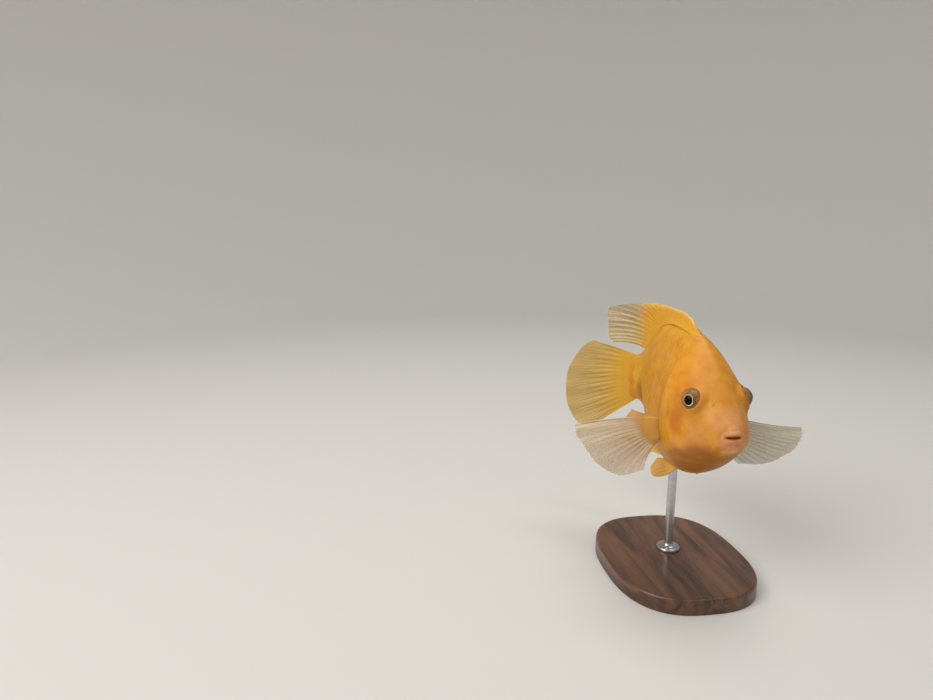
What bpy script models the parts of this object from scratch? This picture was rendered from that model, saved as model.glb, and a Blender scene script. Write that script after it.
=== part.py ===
"""Blood parrot cichlid, a still life-size model on a display stand.

The fish swims with its head towards -Y and its left side towards +X, its tail swung to its right.
The origin is the centre of the underside of the stand, with +Z up. Everything is in metres.

The body is described by cross sections along a straight fish, in body coordinates:
back (from the snout), side (to the fish's left) and up (from the line of the mouth).
place() then bends the straight fish, tips it and sets it on its stand.
"""

import math

import bmesh
import bpy
import numpy as np
from mathutils import Matrix, Vector
from mathutils.bvhtree import BVHTree

MM = 0.001
GAP = 0.3 * MM

# Pose
MOUTH_HEIGHT = 104.0 * MM
STAND_BACK = 60.0 * MM
NOSE_UP = math.radians(5.6)
# Distance back in millimetres, and how far the spine has turned in degrees
BEND = ((0.0, 0.0), (75.0, 0.0), (88.0, 1.2), (97.0, 5.5), (106.0, 13.5), (114.0, 24.0),
        (122.0, 33.5), (133.0, 45.5), (143.0, 56.5), (155.0, 66.0), (165.0, 70.5), (190.0, 73.0))
SPINE_STEP = 1.0 * MM

# Body: points round each ring, steps of the section table, and rings along each piece
AROUND = 36
ROW_STEPS = 24
CHEEK_RINGS = 9
SHOULDER_RINGS = 8
FLANK_RINGS = 8
STALK_RINGS = 5
BELLY_SHARPNESS = 0.96
SEAM = 0.45 * MM
JUST_BEHIND = 0.0001 * MM
STALK_START = 102.0 * MM
BODY_END = 115.0 * MM
FACE_END = 21.0 * MM
SHOULDER_START = 60.0 * MM
GILL_RAISE = 0.7 * MM
GILL_REACH = 16.0 * MM
FLANK_RECESS = 0.5 * MM
FLANK_RECESS_REACH = 7.0 * MM
# The gill cover stands out only on the flanks: from this squared sine of the angle, over this span
FLANK_FROM = 0.15
FLANK_SPAN = 0.5

# Cross sections in millimetres:
# back, top, bottom, height of the widest point, half width, crest sharpness, set-back of the sides
SECTIONS = (
    (4.5, 0.10, -0.10, 0.0, 2.0, 1.00, 1.0),
    (3.0, 0.25, -0.25, 0.0, 2.6, 1.00, 1.3),
    (1.0, 0.42, -0.42, 0.0, 3.5, 1.00, 1.5),
    (-0.2, 1.90, -2.00, -0.1, 5.5, 1.00, 1.6),
    (0.9, 3.60, -4.00, -0.3, 6.6, 1.00, 1.2),
    (1.7, 5.10, -5.40, -0.6, 7.6, 1.00, 0.8),
    (3.4, 8.30, -7.70, -1.0, 9.1, 1.00, 0.3),
    (7.0, 14.4, -11.2, -1.5, 11.4, 1.02, 0.0),
    (12.0, 21.6, -15.3, -2.0, 13.8, 1.06, 0.0),
    (18.0, 29.5, -19.4, -2.0, 17.0, 1.10, 0.0),
    (25.0, 37.2, -23.6, -2.0, 20.0, 1.14, 0.0),
    (33.0, 44.0, -27.6, -2.0, 21.2, 1.18, 0.0),
    (42.0, 48.9, -30.6, 0.0, 20.8, 1.24, 0.0),
    (52.0, 51.9, -31.9, 2.0, 19.8, 1.32, 0.0),
    (63.0, 53.4, -31.2, 4.0, 18.3, 1.36, 0.0),
    (75.0, 53.0, -28.2, 6.5, 15.9, 1.34, 0.0),
    (86.0, 49.8, -22.3, 9.0, 12.9, 1.28, 0.0),
    (95.0, 44.2, -14.8, 11.0, 10.0, 1.20, 0.0),
    (103.0, 36.6, -7.8, 12.6, 7.4, 1.10, 0.0),
    (110.0, 30.6, -3.0, 13.4, 5.5, 1.05, 0.0),
    (115.0, 28.2, -1.4, 13.2, 4.5, 1.00, 0.0),
    (122.0, 27.4, -0.6, 13.2, 3.8, 1.00, 0.0),
)
LIP_ROW = 3
HEAD_RINGS = (0.0, 1.0, 2.0, 2.5, 3.0, 3.5, 4.0, 5.0, 6.0, 6.6, 7.3, 8.0, 8.7, 9.4)
LID_RINGS = (1.0, 0.66, 0.33)
LID_CENTRE_UP = 8.0 * MM
NOSE_CAP = 0.5 * MM

# Rear edge of the head and gill cover: degrees from the crest, and how far back in millimetres
GILL_EDGE = ((0, 37.0), (30, 38.0), (60, 41.0), (85, 43.8),
             (105, 43.5), (130, 38.5), (155, 29.5), (180, 25.5))

# Eyes and nostrils
EYE_BACK = 18.8 * MM
EYE_UP = 16.6 * MM
EYE_RADIUS = 5.9 * MM
EYE_STANDS_OUT = 5.3 * MM
# The head swells round each eye: height, width, and where it has faded away
EYE_SWELL = 2.2 * MM
EYE_SWELL_WIDTH = 8.5 * MM
EYE_SWELL_END = 20.0 * MM
EYE_SWELL_FADE = 6.0 * MM
RIM_RADIUS = 5.8 * MM
RIM_THICK = 0.75 * MM
RIM_RAISE = 1.6 * MM
NOSTRIL_BACK = 9.5 * MM
NOSTRIL_ANGLE = math.radians(33)
NOSTRIL_RADIUS = 0.75 * MM

# Fins: half the thickness of the membrane, and how far each fin's rays rise from it at the root
MEMBRANE_HALF = 0.27 * MM
MEMBRANE_SHARES = (0.27, 0.73)
MEMBRANE_RISE = 0.25
ROW_SPACING = 0.9
RIDGE_FADE = 0.8
DORSAL_RIDGE = 0.75 * MM
ANAL_RIDGE = 0.7 * MM
CAUDAL_RIDGE = 0.6 * MM
PECTORAL_RIDGE = 0.5 * MM
PELVIC_RIDGE = 0.8 * MM
SPINY_NOTCH = 0.1

# Half the width of each fin's root, and how far its supports bow
MEDIAN_ROOT = 1.2 * MM
MEDIAN_BOW = 0.05
PECTORAL_ROOT = 1.3 * MM
LEFT_PECTORAL_BOW = (2.0 * MM, 0.0, -2.0 * MM)
RIGHT_PECTORAL_BOW = (2.0 * MM, 0.0, 1.0 * MM)
PECTORAL_FLESH = 1.0 * MM
PECTORAL_FLESH_REACH = 0.25
PELVIC_ROOT = 1.0 * MM
PELVIC_BOW = (0.0, 0.0, -1.8 * MM)
CAUDAL_INSET = 0.8 * MM
CAUDAL_ROOT = 0.3 * MM
CAUDAL_FLESH = 2.2 * MM
CAUDAL_FLESH_REACH = 0.28

# Tips of the supports in body coordinates, in millimetres, against the share along the fin's base
DORSAL_SUPPORTS = 25
DORSAL_SPINY_SHARE = 0.63
DORSAL_BASE = (40.0 * MM, 108.0 * MM)
DORSAL_TIPS = ((0.0, 44.0, 51.8), (0.15, 55.0, 58.2), (0.35, 71.0, 60.6), (0.5, 83.5, 62.0),
               (0.62, 95.0, 62.4), (0.68, 107.0, 62.2), (0.74, 122.0, 61.2), (0.79, 138.4, 58.2),
               (0.84, 138.6, 50.4), (0.89, 138.8, 43.5), (0.94, 138.0, 38.2), (1.0, 134.5, 34.6))
ANAL_SUPPORTS = 15
ANAL_SPINY_SHARE = 0.42
ANAL_BASE = (76.0 * MM, 101.5 * MM)
ANAL_TIPS = ((0.0, 80.0, -32.0), (0.2, 89.0, -32.5), (0.4, 99.0, -34.0), (0.52, 109.0, -34.5),
             (0.62, 121.0, -33.0), (0.7, 129.0, -29.0), (0.8, 127.0, -22.0), (0.9, 124.5, -15.0),
             (1.0, 120.0, -9.0))
CAUDAL_SUPPORTS = 16
CAUDAL_TIPS = ((0.0, 148.5, 35.8), (0.08, 154.5, 32.6), (0.2, 161.0, 24.5), (0.35, 166.0, 14.6),
               (0.55, 167.3, 0.5), (0.74, 165.5, -11.5), (0.9, 158.5, -22.0), (1.0, 147.5, -22.8))

# Tips of the paired fins: share along the base, back, out to the side, and up
PECTORAL_SUPPORTS = 13
PECTORAL_BACK = (47.0 * MM, 47.5 * MM)
PECTORAL_UP = (1.5 * MM, -11.5 * MM)
LEFT_PECTORAL_TIPS = ((0.0, 48.0, 69.3, -8.9), (0.2, 47.0, 68.5, -13.8), (0.4, 46.5, 65.0, -20.4),
                      (0.6, 48.0, 57.6, -26.2), (0.8, 50.5, 46.7, -30.5), (1.0, 50.0, 31.3, -29.4))
RIGHT_PECTORAL_TIPS = ((0.0, 48.0, 68.7, -0.8), (0.2, 47.0, 67.8, -6.5), (0.4, 46.5, 62.7, -14.6),
                       (0.6, 48.0, 55.2, -24.3), (0.8, 50.5, 41.3, -32.5), (1.0, 50.0, 27.0, -29.8))
PELVIC_SUPPORTS = 6
PELVIC_BACK = (49.0 * MM, 61.0 * MM)
PELVIC_ANGLE = math.radians(158)
PELVIC_TIPS = ((0.0, 67.0, 13.5, -39.2), (0.25, 73.0, 13.0, -39.2), (0.5, 75.5, 12.0, -37.0),
               (0.75, 74.0, 11.0, -33.6), (1.0, 69.0, 10.0, -30.2))

# Stand
BASE_LENGTH = 104.0 * MM
BASE_WIDTH = 84.0 * MM
BASE_THICK = 9.0 * MM
BASE_BEVEL = 1.5 * MM
ROD_RADIUS = 2.6 * MM
BASE_ROUNDNESS = 0.75
BASE_SIDES = 48
ROD_BACK = 66.0 * MM
ROD_SIDES = 24
# The foot's radius and height, from the base up
FOOT_PROFILE = ((7.0 * MM, 0.0), (7.0 * MM, 1.4 * MM), (6.4 * MM, 2.0 * MM), (3.4 * MM, 2.5 * MM),
                (ROD_RADIUS, 3.6 * MM))

COLOURS = {
    "skin": ((0.80, 0.38, 0.06), 0.45, 0.0),
    "fin": ((0.85, 0.62, 0.25), 0.5, 0.0),
    "eye": ((0.05, 0.04, 0.02), 0.1, 0.0),
    "stand_wood": ((0.05, 0.03, 0.02), 0.4, 0.0),
    "stand_metal": ((0.65, 0.63, 0.60), 0.3, 1.0),
}


def clear_scene():
    for obj in list(bpy.data.objects):
        bpy.data.objects.remove(obj)


def material(name):
    found = bpy.data.materials.get(name)
    if found:
        return found
    colour, roughness, metallic = COLOURS[name]
    made = bpy.data.materials.new(name)
    made.use_nodes = True
    shader = made.node_tree.nodes["Principled BSDF"]
    shader.inputs["Base Color"].default_value = (*colour, 1.0)
    shader.inputs["Roughness"].default_value = roughness
    shader.inputs["Metallic"].default_value = metallic
    return made


def mesh_object(name, points, faces, finish):
    mesh = bpy.data.meshes.new(name)
    mesh.from_pydata([tuple(p) for p in points], [], faces)
    mesh.validate()
    shape = bmesh.new()
    shape.from_mesh(mesh)
    bmesh.ops.recalc_face_normals(shape, faces=shape.faces)
    shape.to_mesh(mesh)
    shape.free()
    mesh.shade_smooth()
    mesh.set_sharp_from_angle(angle=math.radians(40))
    obj = bpy.data.objects.new(name, mesh)
    obj.data.materials.append(material(finish))
    bpy.context.scene.collection.objects.link(obj)
    return obj


def curve_value(stations, x):
    """Smooth value at x through (x, value) stations, which may hold several values each."""
    n = len(stations)
    if x <= stations[0][0]:
        return stations[0][1]
    if x >= stations[-1][0]:
        return stations[-1][1]
    i = next(k for k in range(n - 1) if x <= stations[k + 1][0])
    x0, y0 = stations[i]
    x1, y1 = stations[i + 1]
    step = x1 - x0
    before = stations[max(i - 1, 0)]
    after = stations[min(i + 2, n - 1)]
    slope0 = (y1 - before[1]) / (x1 - before[0])
    slope1 = (after[1] - y0) / (after[0] - x0)
    t = (x - x0) / step
    return (
        y0 * (2 * t**3 - 3 * t**2 + 1)
        + slope0 * step * (t**3 - 2 * t**2 + t)
        + y1 * (3 * t**2 - 2 * t**3)
        + slope1 * step * (t**3 - t**2)
    )


def smooth_step(x):
    x = min(max(x, 0.0), 1.0)
    return x * x * (3 - 2 * x)


def spine_table():
    """Points and headings along the bent spine, from the snout on."""
    table = []
    x, y = 0.0, 0.0
    for k in range(int(BEND[-1][0] * MM / SPINE_STEP) + 1):
        heading = math.radians(curve_value(BEND, k * SPINE_STEP / MM))
        table.append((x, y, heading))
        middle = math.radians(curve_value(BEND, (k + 0.5) * SPINE_STEP / MM))
        x -= math.sin(middle) * SPINE_STEP
        y += math.cos(middle) * SPINE_STEP
    return table


SPINE = spine_table()


def place(back, side, up):
    """Frame point of a body-coordinate point: bent with the spine, tipped, and set on the stand."""
    k = min(max(back / SPINE_STEP, 0.0), len(SPINE) - 1.001)
    i = int(k)
    share = k - i
    x = SPINE[i][0] * (1 - share) + SPINE[i + 1][0] * share
    y = SPINE[i][1] * (1 - share) + SPINE[i + 1][1] * share
    heading = SPINE[i][2] * (1 - share) + SPINE[i + 1][2] * share
    if back < 0:
        y = back
    x += side * math.cos(heading)
    y += side * math.sin(heading)
    y -= STAND_BACK
    tipped_y = y * math.cos(NOSE_UP) + up * math.sin(NOSE_UP)
    tipped_up = up * math.cos(NOSE_UP) - y * math.sin(NOSE_UP)
    lowered = STAND_BACK * math.sin(NOSE_UP)
    return Vector((x, tipped_y, MOUTH_HEIGHT - lowered + tipped_up))


def section_table():
    """All columns of SECTIONS in metres, apart from the crest sharpness, in fine steps of the row."""
    rows = np.linspace(0, len(SECTIONS) - 1, (len(SECTIONS) - 1) * ROW_STEPS + 1)
    columns = []
    for c in range(7):
        stations = tuple((i, s[c] * (1.0 if c == 5 else MM)) for i, s in enumerate(SECTIONS))
        columns.append([curve_value(stations, row) for row in rows])
    return rows, np.array(columns)


ROWS, FINE_SECTIONS = section_table()
BEHIND_LIPS = LIP_ROW * ROW_STEPS + ROW_STEPS
FINE_GILL_EDGE = np.array([curve_value(GILL_EDGE, degrees) * MM for degrees in range(181)])


def section(row):
    """Back, top, bottom, height of the widest point, half width, crest sharpness and set-back at a row."""
    place_in = min(max(row, 0.0), len(SECTIONS) - 1.0) * ROW_STEPS
    i = min(int(place_in), len(ROWS) - 2)
    share = place_in - i
    return FINE_SECTIONS[:, i] * (1 - share) + FINE_SECTIONS[:, i + 1] * share


def row_at(back):
    """The row of SECTIONS whose section lies that far back, behind the lips."""
    return float(np.interp(back, FINE_SECTIONS[0, BEHIND_LIPS:], ROWS[BEHIND_LIPS:]))


def gill_edge(angle):
    """How far back the head reaches at an angle from the crest."""
    degrees = abs(math.degrees(math.remainder(angle, 2 * math.pi)))
    i = min(int(degrees), 179)
    return float(FINE_GILL_EDGE[i] + (FINE_GILL_EDGE[i + 1] - FINE_GILL_EDGE[i]) * (degrees - i))


def relief(back, angle):
    """Height of the gill cover over the smooth body, and depth of the flank just behind it."""
    behind = back - gill_edge(angle)
    flank = smooth_step((math.sin(angle) ** 2 - FLANK_FROM) / FLANK_SPAN)
    if behind <= 0:
        return GILL_RAISE * flank * smooth_step(1 + behind / GILL_REACH)
    return -FLANK_RECESS * flank * smooth_step(1 - behind / FLANK_RECESS_REACH)


def outline(row, angle, raised=0.0):
    """Body coordinates of the surface at a row and an angle from the crest, towards the left side."""
    back, top, bottom, wide_up, half, crest, set_back = section(row)
    c, s = math.cos(angle), math.sin(angle)
    spread = math.copysign(abs(s) ** (crest if c > 0 else BELLY_SHARPNESS), s)
    reach = (top - wide_up) if c > 0 else (wide_up - bottom)
    wider = 1 + raised / max(half, MM)
    taller = 1 + raised / max(reach, MM)
    return back + set_back * s * s, half * spread * wider, wide_up + reach * c * taller


def skin_point(back, angle):
    """Body coordinates of the surface that far back, with the gill cover's relief."""
    return outline(row_at(back), angle, relief(back, angle))


def skin_frame(back, angle):
    """Frame point of the skin and its outward normal."""
    here = place(*skin_point(back, angle))
    step = 0.5 * MM
    along = place(*skin_point(back + step, angle)) - place(*skin_point(back - step, angle))
    turn = 0.02
    around = place(*skin_point(back, angle + turn)) - place(*skin_point(back, angle - turn))
    return here, around.cross(along).normalized()


def angle_at(back, up, side_sign):
    """The angle from the crest at which the skin is at a height, on the left (1) or right (-1) side."""
    low, high = 0.0, math.pi
    for _ in range(30):
        middle = (low + high) / 2
        if skin_point(back, middle)[2] > up:
            low = middle
        else:
            high = middle
    return side_sign * (low + high) / 2


def loft(name, rings, finish, cap_start, cap_end, flipped=0):
    """A closed mesh through rings of equal length, with a point that closes each end.

    The first few bands can have their diagonals flipped, to match a lid built from the outside in.
    """
    points, faces = [], []
    n = len(rings[0])
    for ring in rings:
        points.extend(ring)
    for r in range(len(rings) - 1):
        for k in range(n):
            a, b = r * n + k, r * n + (k + 1) % n
            if (k < n / 2) == (r >= flipped):
                faces += [(a, b, b + n), (a, b + n, a + n)]
            else:
                faces += [(a, b, a + n), (b, b + n, a + n)]
    first, last = len(points), len(points) + 1
    points += [cap_start, cap_end]
    end = (len(rings) - 1) * n
    for k in range(n):
        faces.append((first, (k + 1) % n, k))
        faces.append((last, end + k, end + (k + 1) % n))
    return mesh_object(name, points, faces, finish)


def angles():
    return [2 * math.pi * k / AROUND for k in range(AROUND)]


def gill_lid(offset):
    """Rings that close the cut behind the gill covers, from the outside in, and their centre."""
    mean = sum(gill_edge(a) for a in angles()) / AROUND
    made = []
    for share in LID_RINGS:
        ring = []
        for a in angles():
            edge = gill_edge(a)
            _, side, up = skin_point(edge + JUST_BEHIND, a)
            back = mean + (edge - mean) * share + offset
            ring.append(place(back, side * share, LID_CENTRE_UP + (up - LID_CENTRE_UP) * share))
        made.append(ring)
    return made, place(mean + offset, 0, LID_CENTRE_UP)


def flat_lid(back):
    """Rings and centre that close a flat cut across the body."""
    wide_up = section(row_at(back))[3]
    made = []
    for share in LID_RINGS[1:]:
        ring = []
        for a in angles():
            _, side, up = outline(row_at(back), a)
            ring.append(place(back, side * share, wide_up + (up - wide_up) * share))
        made.append(ring)
    return made, place(back, 0, wide_up)


def swollen(point, seats):
    """A point of the head, moved out where the head swells round an eye."""
    moved = point.copy()
    for seat in seats:
        seen = seat.inverted() @ point
        away = math.hypot(seen.x, seen.y)
        if seen.z < -EYE_SWELL_END:
            continue
        height = EYE_SWELL * math.exp(-((away / EYE_SWELL_WIDTH) ** 2))
        height *= smooth_step((EYE_SWELL_END - away) / EYE_SWELL_FADE)
        moved += seat.to_3x3() @ Vector((0, 0, height))
    return moved


def head_loft():
    seats = [eye_frame(side_sign) for side_sign in (1, -1)]
    rings = [[swollen(place(*outline(row, a)), seats) for a in angles()] for row in HEAD_RINGS]
    for k in range(1, CHEEK_RINGS + 1):
        ring = []
        for a in angles():
            back = FACE_END + (gill_edge(a) - FACE_END) * k / CHEEK_RINGS
            ring.append(swollen(place(*skin_point(back, a)), seats))
        rings.append(ring)
    lids, centre = gill_lid(0.0)
    start = place(SECTIONS[0][0] * MM + NOSE_CAP, 0, 0)
    return loft("head", rings + lids, "skin", start, centre)


def trunk_loft():
    lids, centre = gill_lid(SEAM)
    rings = list(reversed(lids))
    for k in range(1, SHOULDER_RINGS + 1):
        ring = []
        for a in angles():
            start = gill_edge(a) + SEAM
            share = k / SHOULDER_RINGS
            ring.append(place(*skin_point(start + (SHOULDER_START - start) * share, a)))
        rings.append(ring)
    for k in range(1, FLANK_RINGS + 1):
        back = SHOULDER_START + (STALK_START - SHOULDER_START) * k / FLANK_RINGS
        rings.append([place(*skin_point(back, a)) for a in angles()])
    end_lids, end = flat_lid(STALK_START)
    return loft("trunk", rings + end_lids, "skin", centre, end, len(lids) - 1)


def stalk_loft():
    start = STALK_START + SEAM
    lids, centre = flat_lid(start)
    rings = list(reversed(lids))
    for k in range(STALK_RINGS + 1):
        back = start + (BODY_END - start) * k / STALK_RINGS
        rings.append([place(*skin_point(back, a)) for a in angles()])
    end_lids, end = flat_lid(BODY_END)
    return loft("tail_stalk", rings + end_lids, "skin", centre, end)


def facing(normal):
    """Rotation that turns +Z to a direction."""
    return normal.to_track_quat("Z", "Y").to_matrix().to_4x4()


def apply_boolean(obj, helpers, operation):
    group = bpy.data.collections.new(obj.name + "_" + operation.lower())
    for helper in helpers:
        group.objects.link(helper)
    cut = obj.modifiers.new(operation.title(), "BOOLEAN")
    cut.operation = operation
    cut.operand_type = "COLLECTION"
    cut.collection = group
    graph = bpy.context.evaluated_depsgraph_get()
    result = bpy.data.meshes.new_from_object(obj.evaluated_get(graph))
    obj.modifiers.remove(cut)
    old = obj.data
    obj.data = result
    bpy.data.meshes.remove(old)
    for helper in helpers:
        bpy.data.objects.remove(helper)
    bpy.data.collections.remove(group)


def keep_largest(obj):
    """Drops every loose scrap, so that the node is one closed surface."""
    shape = bmesh.new()
    shape.from_mesh(obj.data)
    left = set(shape.verts)
    groups = []
    while left:
        todo = [left.pop()]
        group = []
        while todo:
            v = todo.pop()
            group.append(v)
            for e in v.link_edges:
                other = e.other_vert(v)
                if other in left:
                    left.remove(other)
                    todo.append(other)
        groups.append(group)
    groups.sort(key=len, reverse=True)
    for group in groups[1:]:
        bmesh.ops.delete(shape, geom=group, context="VERTS")
    shape.to_mesh(obj.data)
    shape.free()


def ball(name, centre, radius, finish, segments, rings):
    shape = bmesh.new()
    bmesh.ops.create_uvsphere(shape, u_segments=segments, v_segments=rings, radius=radius)
    mesh = bpy.data.meshes.new(name)
    shape.to_mesh(mesh)
    shape.free()
    mesh.shade_smooth()
    mesh.materials.append(material(finish))
    obj = bpy.data.objects.new(name, mesh)
    mesh.transform(centre)
    bpy.context.scene.collection.objects.link(obj)
    return obj


def ring_helper(name, frame, radius, thick, segments=28, sides=8):
    """A torus round the +Z axis of a frame."""
    points, faces = [], []
    for i in range(segments):
        a = 2 * math.pi * i / segments
        for j in range(sides):
            b = 2 * math.pi * j / sides
            reach = radius + thick * math.cos(b)
            points.append(frame @ Vector((reach * math.cos(a), reach * math.sin(a), thick * math.sin(b))))
            this, after = i * sides, ((i + 1) % segments) * sides
            faces.append((this + j, after + j, after + (j + 1) % sides, this + (j + 1) % sides))
    return mesh_object(name, points, faces, "skin")


def eye_frame(side_sign):
    """Frame at the skin where the eye sits, with +Z outwards."""
    angle = angle_at(EYE_BACK, EYE_UP, side_sign)
    point, normal = skin_frame(EYE_BACK, angle)
    return Matrix.Translation(point) @ facing(normal)


def finish_head(head):
    """Adds the rims of the eyes to the head, and cuts the eye sockets and nostrils."""
    rims, cutters = [], []
    for side_sign, side in ((1, "left"), (-1, "right")):
        frame = eye_frame(side_sign)
        raised = frame @ Matrix.Translation((0, 0, RIM_RAISE))
        rims.append(ring_helper("rim", raised, RIM_RADIUS, RIM_THICK))
        centre = frame @ Matrix.Translation((0, 0, EYE_STANDS_OUT - EYE_RADIUS))
        cutters.append(ball("socket", centre, EYE_RADIUS + GAP, "skin", 32, 20))
        ball("eye_" + side, centre, EYE_RADIUS, "eye", 28, 16)
        point, normal = skin_frame(NOSTRIL_BACK, side_sign * NOSTRIL_ANGLE)
        nostril = Matrix.Translation(point) @ facing(normal)
        cutters.append(ball("nostril", nostril, NOSTRIL_RADIUS, "skin", 12, 8))
    apply_boolean(head, rims, "UNION")
    apply_boolean(head, cutters, "DIFFERENCE")
    keep_largest(head)
    return head


class Fin:
    """A fin of supports, raised as ridges, with membrane between them.

    root(t, side) gives the frame point on the skin at a share t along the base, for side -1, 0 or 1.
    sheet(t, r) gives the frame point of the middle surface at a share r of the length of the support.
    ridge(t, r) gives how far a support rises, and notch(t) how far the edge dips between supports.
    """

    def __init__(self, name, supports, rows, root, sheet, ridge, notch):
        self.name = name
        self.supports = supports
        self.rows = rows
        self.root = root
        self.sheet = sheet
        self.ridge = ridge
        self.notch = notch

    def columns(self):
        """Shares along the base, each with 1 on a support and 0 on the membrane."""
        made = []
        for k in range(self.supports - 1):
            made.append((k / (self.supports - 1), 1))
            for part in MEMBRANE_SHARES:
                made.append(((k + part) / (self.supports - 1), 0))
        made.append((1.0, 1))
        return made

    def middle_surface(self, columns):
        made = []
        for r in range(self.rows + 1):
            share = (r / self.rows) ** ROW_SPACING
            made.append([self.sheet(t, share * (1 if on else 1 - self.notch(t))) for t, on in columns])
        return made

    def side_points(self, columns, middle, sign):
        """Grid of points on one face of the fin."""
        last = len(columns) - 1
        grid = [[self.root(t, sign) for t, _ in columns]]
        for r in range(1, self.rows + 1):
            line = []
            for k, (t, on) in enumerate(columns):
                across = middle[r][min(k + 1, last)] - middle[r][max(k - 1, 0)]
                along = middle[min(r + 1, self.rows)][k] - middle[r - 1][k]
                normal = across.cross(along).normalized()
                rise = self.ridge(t, r / self.rows) * (1 if on else MEMBRANE_RISE)
                line.append(middle[r][k] + normal * (MEMBRANE_HALF + rise) * sign)
            grid.append(line)
        return grid

    def build(self):
        columns = self.columns()
        middle = self.middle_surface(columns)
        n, points, index = len(columns), [], {}
        for sign in (1, -1):
            for r, line in enumerate(self.side_points(columns, middle, sign)):
                for k, point in enumerate(line):
                    index[sign, r, k] = len(points)
                    points.append(point)
        for k, (t, _) in enumerate(columns):
            index[0, 0, k] = len(points)
            points.append(self.root(t, 0))
        faces = []
        for k in range(n - 1):
            for sign in (1, -1):
                for r in range(self.rows):
                    a, b = index[sign, r, k], index[sign, r, k + 1]
                    c, d = index[sign, r + 1, k + 1], index[sign, r + 1, k]
                    faces += [(a, b, c), (a, c, d)]
                a, b = index[sign, 0, k], index[sign, 0, k + 1]
                c, d = index[0, 0, k + 1], index[0, 0, k]
                faces += [(a, b, c), (a, c, d)]
            a, b = index[1, self.rows, k], index[1, self.rows, k + 1]
            c, d = index[-1, self.rows, k + 1], index[-1, self.rows, k]
            faces += [(a, b, c), (a, c, d)]
        for k in (0, n - 1):
            for r in range(self.rows):
                a, b = index[1, r, k], index[1, r + 1, k]
                c, d = index[-1, r + 1, k], index[-1, r, k]
                faces += [(a, b, c), (a, c, d)]
            faces.append((index[0, 0, k], index[1, 0, k], index[-1, 0, k]))
        return mesh_object(self.name, points, faces, "fin")


def body_tree(lofts):
    """The skin of the whole body in one surface, for the fins and the rod to meet."""
    points, faces = [], []
    for obj in lofts:
        first = len(points)
        points += [v.co.copy() for v in obj.data.vertices]
        faces += [tuple(first + i for i in face.vertices) for face in obj.data.polygons]
    return BVHTree.FromPolygons(points, faces)


def skin_root(tree, back_of, angle_of, half):
    """Root of a fin that stands on the skin: a saddle along a line of the surface, a gap clear of it."""

    def root(t, side):
        here, normal = skin_frame(back_of(t), angle_of(t))
        step = 0.02
        ahead, _ = skin_frame(back_of(t + step), angle_of(t + step))
        behind, _ = skin_frame(back_of(t - step), angle_of(t - step))
        across = (ahead - behind).normalized().cross(normal)
        on_skin, outwards, _, _ = tree.find_nearest(here + across * side * half)
        return on_skin + outwards * GAP

    return root


def along(ends):
    """The value at a share of the way from one end to the other."""
    return lambda t: ends[0] + (ends[1] - ends[0]) * t


def tip_column(tips, column):
    return tuple((row[0], row[column]) for row in tips)


def median_tip(tips, t):
    """Tip of a support in the fish's middle plane."""
    return Vector((curve_value(tip_column(tips, 1), t), 0, curve_value(tip_column(tips, 2), t))) * MM


def bowed(start, tip, bow, r):
    """Body-coordinate point at a share r of a support from start to tip that bows by a vector."""
    return start + (tip - start) * r + bow * 4 * r * (1 - r)


def median_sheet(base, tips, crest_angle, outwards):
    """Middle surface of a dorsal or anal fin, whose supports bow outwards."""
    back_of = along(base)

    def sheet(t, r):
        back = back_of(t)
        start = Vector((back, 0, skin_point(back, crest_angle)[2] + outwards * GAP))
        tip = median_tip(tips, t)
        reach = tip - start
        bow = Vector((-reach.z, 0, reach.x)) * outwards * MEDIAN_BOW
        return place(*bowed(start, tip, bow, r))

    return sheet


def build_median_fin(tree, name, outwards, supports, base, tips, spiny_share, ridge_height):
    def ridge(t, r):
        return ridge_height * (1 - RIDGE_FADE * r)

    def notch(t):
        return SPINY_NOTCH if t < spiny_share else 0.0

    angle = 0.0 if outwards > 0 else math.pi
    root = skin_root(tree, along(base), lambda t: angle, MEDIAN_ROOT)
    sheet = median_sheet(base, tips, angle, outwards)
    return Fin(name, supports, 6, root, sheet, ridge, notch).build()


def build_caudal():
    _, top, bottom, wide_up, half_width, _, _ = section(row_at(BODY_END))
    up_of = along((top - CAUDAL_INSET, bottom + CAUDAL_INSET))

    def root(t, side):
        up = up_of(min(max(t, 0.0), 1.0))
        share = (up - wide_up) / ((top if up > wide_up else bottom) - wide_up)
        half = CAUDAL_ROOT + (half_width - 2 * CAUDAL_ROOT) * math.sqrt(max(0.0, 1 - share * share))
        return place(BODY_END + GAP, -side * half, up)

    def sheet(t, r):
        start = Vector((BODY_END + GAP, 0, up_of(t)))
        return place(*bowed(start, median_tip(CAUDAL_TIPS, t), Vector((0, 0, 0)), r))

    def ridge(t, r):
        inner = math.sin(math.pi * min(max(t, 0.06), 0.94))
        fleshy = CAUDAL_FLESH * (1 - smooth_step(r / CAUDAL_FLESH_REACH)) * inner
        return fleshy + CAUDAL_RIDGE * (1 - RIDGE_FADE * r)

    return Fin("caudal_fin", CAUDAL_SUPPORTS, 8, root, sheet, ridge, lambda t: 0.0).build()


def paired_tip(tips, t, side_sign):
    back, out, up = (curve_value(tip_column(tips, c), t) * MM for c in (1, 2, 3))
    return Vector((back, side_sign * out, up))


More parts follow.
